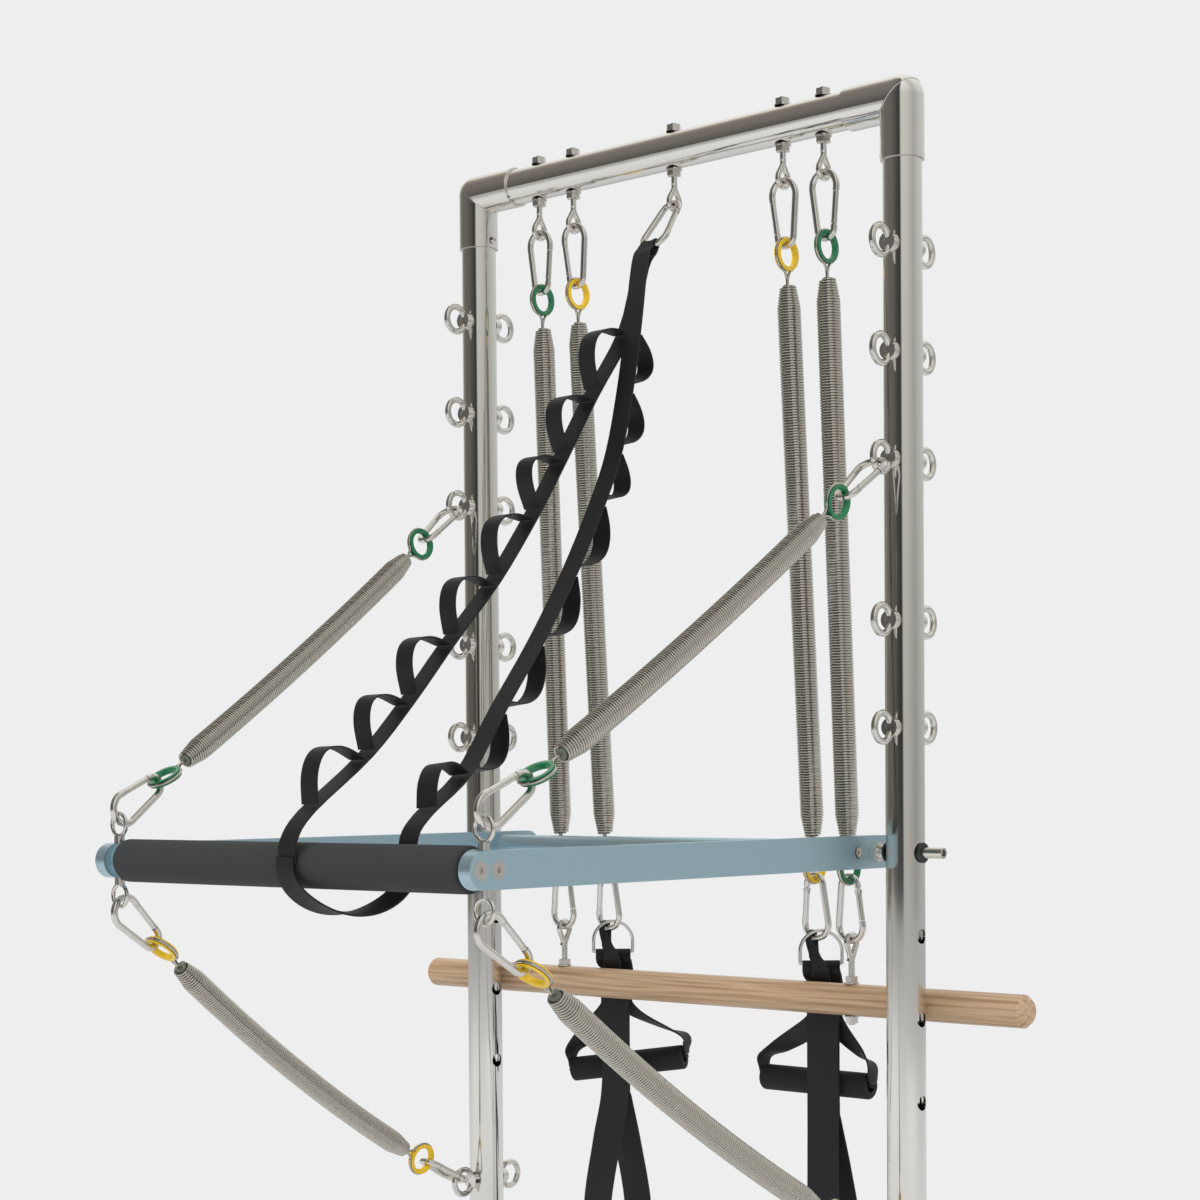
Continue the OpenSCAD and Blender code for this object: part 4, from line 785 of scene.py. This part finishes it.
# Middle of each grip, and how far it is turned and tilted, in degrees
GRIPS = {-1: ((-165.5, 99, 327), 20, 8), 1: ((140, 80, 330), 0, 0)}
GRIP_LEN, GRIP_R, GRIP_BORE_R, GRIP_LIP = 150, 15, 6.6, 3
FOLD_R, BAND_X, STRAP_X, STRAP_WIDE, STRAP_THICK = 3.2, 5, 12.4, 24, 2.4
for s, side in ((-1, "left"), (1, "right")):
    middle, yaw, tilt = GRIPS[s]
    middle, yaw, tilt = np.array(middle, float), math.radians(yaw), math.radians(tilt)
    axis = np.array([math.cos(yaw) * math.cos(tilt), math.sin(yaw) * math.cos(tilt),
                     math.sin(tilt)])
    across = np.array([-math.sin(yaw), math.cos(yaw), 0])
    x0, y0 = s * HAND_X + BAND_X, HAND_Y
    turned = (math.cos(RING_TURN), math.sin(RING_TURN), 0)
    verts, faces = tube(GRIP_LEN, GRIP_R, GRIP_BORE_R, GRIP_LIP)
    third = np.cross(axis, across)
    grip = piece(f"{side}_foam_grip",
                 ([middle + axis * x + across * y + third * z for x, y, z in verts], faces),
                 grip_foam, f"{side}_handle", [f"{side}_grip"])
    around = [np.array([x0, y0, RING_BAR]) + np.array([-turned[1], turned[0], 0]) * FOLD_R
              * math.cos(a) + np.array([0, 0, 1]) * FOLD_R * math.sin(a)
              for a in np.linspace(math.radians(-75), math.radians(255), 14)]
    fold, _ = ribbon([(p, turned, WEB_W - 1.2, 1.9) for p in around], 2)
    face, face_len = ribbon([
        ((x0, y0, RING_BAR - 2.8), turned, WEB_W - 1, BAND_T),
        ((x0, y0, RING_BAR - 7), turned, WEB_W - 1, BAND_T),
        ((x0, y0 + 2.4, RING_BAR - 11.5), (0.85, 0.5, 0), WEB_W - 1, BAND_T),
        ((x0, y0 + 5.4, RING_BAR - 15.5), (0.93, 0.36, 0), WEB_W - 1, BAND_T),
        ((x0, y0 + 7.6, RING_BAR - 19.5), (0.97, 0.22, 0), WEB_W - 1, BAND_T),
        ((x0, BAND_Y + 0.6, 446), (1, 0.1, 0), WEB_W, BAND_T),
        ((x0, BAND_Y, 437), SIDE_X, WEB_W, BAND_T),
        ((x0, BAND_Y, 404), SIDE_X, WEB_W, BAND_T)])
    halves = []
    for q in BOTH:
        out, end = axis * q, middle + axis * q * GRIP_LEN / 2
        top = np.array([x0 + q * 13, BAND_Y, 399])
        rise = end + out * 1.5 + np.array([0, 0, 24])
        curl = -out * 0.02
        across_q = np.array([-q * 0.2, 0.9, 0])
        halves.append([
            ((x0 + q * STRAP_X, BAND_Y, 418), (-q, 0, 0), STRAP_WIDE, STRAP_THICK),
            ((x0 + q * STRAP_X, BAND_Y, 406), (-q, 0, 0), STRAP_WIDE, STRAP_THICK),
            (top + (rise - top) * 0.2, (-q, 0, 0), STRAP_WIDE, STRAP_THICK),
            (top + (rise - top) * 0.7, (-q, 0.5, 0), STRAP_WIDE, STRAP_THICK),
            (rise, across_q, STRAP_WIDE - 1, STRAP_THICK),
            (end + out * 4 + np.array([0, 0, 10]), across, 18, 2.2, curl),
            (end + out * 3 + np.array([0, 0, 3.5]), across, 13, 2, curl),
            (end - out * 2 + np.array([0, 0, 0.5]), across, 11, 2),
            (end - out * 8, across, 11, 2)])
    straps, strap_len = ribbon(halves[0] + halves[1][::-1])
    strap = piece(f"{side}_handle_strap", join([fold, face, straps]), webbing,
                  f"{side}_handle", [f"{side}_strap"])

# Hanging loops.
# One long webbing loop at each handle: folded narrow over the carabiner, led down
# through the D-ring, then between the roll bar and the band to hang before the grip.
ARC_UP, FOLD_SIDE = math.radians(33), HOOK_R + 1.35
turned = np.array([math.cos(RING_TURN), math.sin(RING_TURN), 0])
ahead = np.array([math.sin(RING_TURN), -math.cos(RING_TURN), 0])
for s, side in ((-1, "left"), (1, "right")):
    x0 = s * HAND_X + BAND_X
    fold = on_side(s, hand_low) + WIDE_R * np.array([-math.sin(ARC_UP), 0, 1 - math.cos(ARC_UP)])
    along = np.array([math.cos(ARC_UP), 0, -math.sin(ARC_UP)])
    skew = along + [0.3, 0.2, 0.3]
    n1, y1 = np.array([math.sin(ARC_UP), 0, math.cos(ARC_UP)]), np.array([0, 1, 0])
    bar = np.array([x0, HAND_Y, RING_BAR])
    front_x, rear_x, swing = (-184, -172, 122) if s < 0 else (162, 168, 98)
    # Through the D-ring: across it, in front of it, up from its straight side, width, depth
    down = [(-8, 1.3, 11.5, 12, 1.6), (-6, 6.2, 5.25, 14, 1.8), (-4, 9.4, 0, 17, 1.8),
            (-2, 11.6, -8, 20, 2)]
    back = [(-2, 9.1, -8, 20, 2), (-4, 6.6, 0, 17, 1.8), (-6, 3.6, 5.25, 14, 1.8),
            (-8, -1.3, 11.5, 12, 1.6)]
    stations = (
        [(fold + y1 * FOLD_SIDE - n1 * 3, along, 7, 1.5), (fold + y1 * FOLD_SIDE, along, 7, 1.5),
         (fold + y1 * 3.8 + n1 * 5, along, 6.6, 1.5), (fold - y1 * 3.8 + n1 * 5, along, 6.6, 1.5),
         (fold - y1 * FOLD_SIDE, along, 7, 1.5),
         (fold + [0, -FOLD_SIDE, -5.5], skew, 8, 1.5)]
        + [(bar + turned * u + ahead * n + [0, 0, z], turned, w, t) for u, n, z, w, t in down]
        + [((x0, LOOP_FRONT - 4.2, 447), (1, 0.1, 0), 26, 2),
           ((x0, LOOP_FRONT, 437), SIDE_X, WEB_W, 2), ((x0, LOOP_FRONT, 400), SIDE_X, WEB_W, 2),
           ((x0, LOOP_FRONT, 300), SIDE_X, WEB_W, 2),
           (((x0 + front_x) / 2, LOOP_FRONT, 230), SIDE_X, WEB_W, 2),
           ((front_x, LOOP_FRONT, 150), SIDE_X, WEB_W, 2),
           ((front_x + 2, LOOP_FRONT + 3, 80), SIDE_X, WEB_W, 2),
           ((front_x + 4, LOOP_FRONT + 16, 38), SIDE_X, WEB_W, 2),
           (((front_x + rear_x) / 2, (LOOP_FRONT + swing) / 2, 28), SIDE_X, WEB_W, 2),
           ((rear_x, swing - 10, 40), SIDE_X, WEB_W, 2), ((rear_x, swing, 85), SIDE_X, WEB_W, 2),
           ((rear_x, swing, 150), SIDE_X, WEB_W, 2),
           (((x0 + rear_x) / 2, (LOOP_FRONT + swing) / 2 + 2, 230), SIDE_X, WEB_W, 2),
           ((x0, LOOP_REAR + 3, 290), SIDE_X, WEB_W, 2), ((x0, LOOP_REAR, 306), SIDE_X, WEB_W, 2),
           ((x0, LOOP_REAR, 400), SIDE_X, WEB_W, 2), ((x0, LOOP_REAR, 437), SIDE_X, WEB_W, 2),
           ((x0, LOOP_REAR - 4.2, 447), (1, 0.1, 0), 26, 2)]
        + [(bar + turned * u + ahead * n + [0, 0, z], turned, w, t) for u, n, z, w, t in back]
        + [(fold + [0, FOLD_SIDE + 1.8, -5.5], skew, 8, 1.5),
           (fold + y1 * (FOLD_SIDE + 1.8) - n1, along, 6.6, 1.5)])
    data, length = ribbon(stations, 6)
    loop = piece(f"{side}_webbing_loop", data, webbing, f"{side}_handle", [f"{side}_loop"])

# Safety strap.
# One band of 25 mm webbing from the middle eye bolt round the front bar, with a bulging
# strip tacked along it at every stitch line, which makes the row of hand loops.
STRAP_W, STRAP_T = 25, 2
# Stitch lines of the strips, down the left strand and down the right one
left_tacks = [(4, -92, 1190), (7, -157, 1107), (9, -210, 1033), (11, -259, 967),
              (13, -322, 892), (16, -391, 826), (19, -455, 762), (21, -517, 706),
              (25, -598, 652)]
right_tacks = [(31, -112, 1184), (35, -130, 1116), (42, -157, 1045), (50, -193, 986),
               (63, -254, 905), (80, -325, 828), (99, -403, 755), (116, -471, 689),
               (138, -548, 650)]
over = unit([0, -0.785, 0.62])
fold_out = HOOK_R + STRAP_T / 2 + 0.25
SLIM_W = 18
# In the carabiner's wide end the webbing's edges rise with the bend of the wire
DISH_R = 14
dish = -safety_pull / (2 * DISH_R)
UNDER_Y, UNDER_Z = 28, 44
UNDER_RIGHT, UNDER_ACROSS, UNDER_STEPS = 141, 114, 16


def under_bar(i):
    """The band's place at a step of its half turn under the front bar."""
    u = i / UNDER_STEPS
    x = UNDER_RIGHT - UNDER_ACROSS * u * u * (3 - 2 * u)
    return np.array([x, -REACH + UNDER_Y * math.cos(math.pi * u),
                     PIVOT_Z - UNDER_Z * math.sin(math.pi * u)])


def radial(i):
    """Way out from the front bar at that step."""
    a = math.pi * i / UNDER_STEPS
    return unit([0, math.cos(a) / UNDER_Y, -math.sin(a) / UNDER_Z])


# Steps of the fold over the wire, along the carabiner and across it
fold_back, fold_side = safety_pull * fold_out, over * fold_out
route = ([((27, -624.2, 601), SIDE_X, STRAP_W, STRAP_T),
          ((26, -622, 624), SIDE_X, STRAP_W, STRAP_T)]
        + [(p, SIDE_X, STRAP_W, STRAP_T) for p in reversed(left_tacks)]
        + [(safety_seat + safety_pull * 34 - over * 5, SIDE_X, 24, STRAP_T),
           (safety_seat + safety_pull * 10 - over * (fold_out + 0.4), SIDE_X, 21, STRAP_T,
            dish * 0.5),
           (safety_seat - fold_side, SIDE_X, SLIM_W, STRAP_T, dish),
           (safety_seat - fold_side * 0.7 - fold_back * 0.7, SIDE_X, SLIM_W, STRAP_T, dish),
           (safety_seat - fold_back, SIDE_X, SLIM_W, STRAP_T, dish),
           (safety_seat + fold_side * 0.7 - fold_back * 0.7, SIDE_X, SLIM_W, STRAP_T, dish),
           (safety_seat + fold_side, SIDE_X, SLIM_W, STRAP_T, dish),
           (safety_seat + safety_pull * 10 + over * (fold_out + 0.4), SIDE_X, 21, STRAP_T,
            dish * 0.5),
           (safety_seat + safety_pull * 34 + over * 6 + [6, 0, 0], SIDE_X, 24, STRAP_T)]
        + [(p, SIDE_X, STRAP_W, STRAP_T) for p in right_tacks]
        + [((UNDER_RIGHT, -571, 628), SIDE_X, STRAP_W, STRAP_T)]
        + [(under_bar(i), np.cross(unit(under_bar(i + 0.1) - under_bar(i - 0.1)), radial(i)),
            STRAP_W, STRAP_T) for i in range(UNDER_STEPS + 1)]
        + [((27, -REACH - UNDER_Y + 0.6, PIVOT_Z + 9), SIDE_X, STRAP_W, STRAP_T)])
band_mesh, band_len = ribbon(route, 4)
strips, strip_len = [band_mesh], band_len
for tacks, away, high in ((left_tacks, unit([0, -0.8, 0.6]), 36),
                          (right_tacks, unit([0, 0.8, 0.6]), 26)):
    for a, b in zip(tacks, tacks[1:]):
        a, b = np.array(a, float), np.array(b, float)
        chord = unit(b - a)
        out = unit(np.cross(chord, SIDE_X))
        out = out * np.sign(np.dot(out, away))
        flat_side = np.array(SIDE_X) - chord * chord[0]
        arch = [(a + (b - a) * (0.09 + 0.82 * t)
                 + out * (3 + high * max(math.sin(math.pi * t), 0) ** 0.8), flat_side,
                 STRAP_W - 1.2, 1.6)
                for t in np.linspace(0, 1, 7)]
        data, length = ribbon(arch, 4)
        strips.append(data)
        strip_len += length
strap = piece("safety_webbing", join(strips), webbing, stands_for=["safety_strap"])
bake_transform(strap)
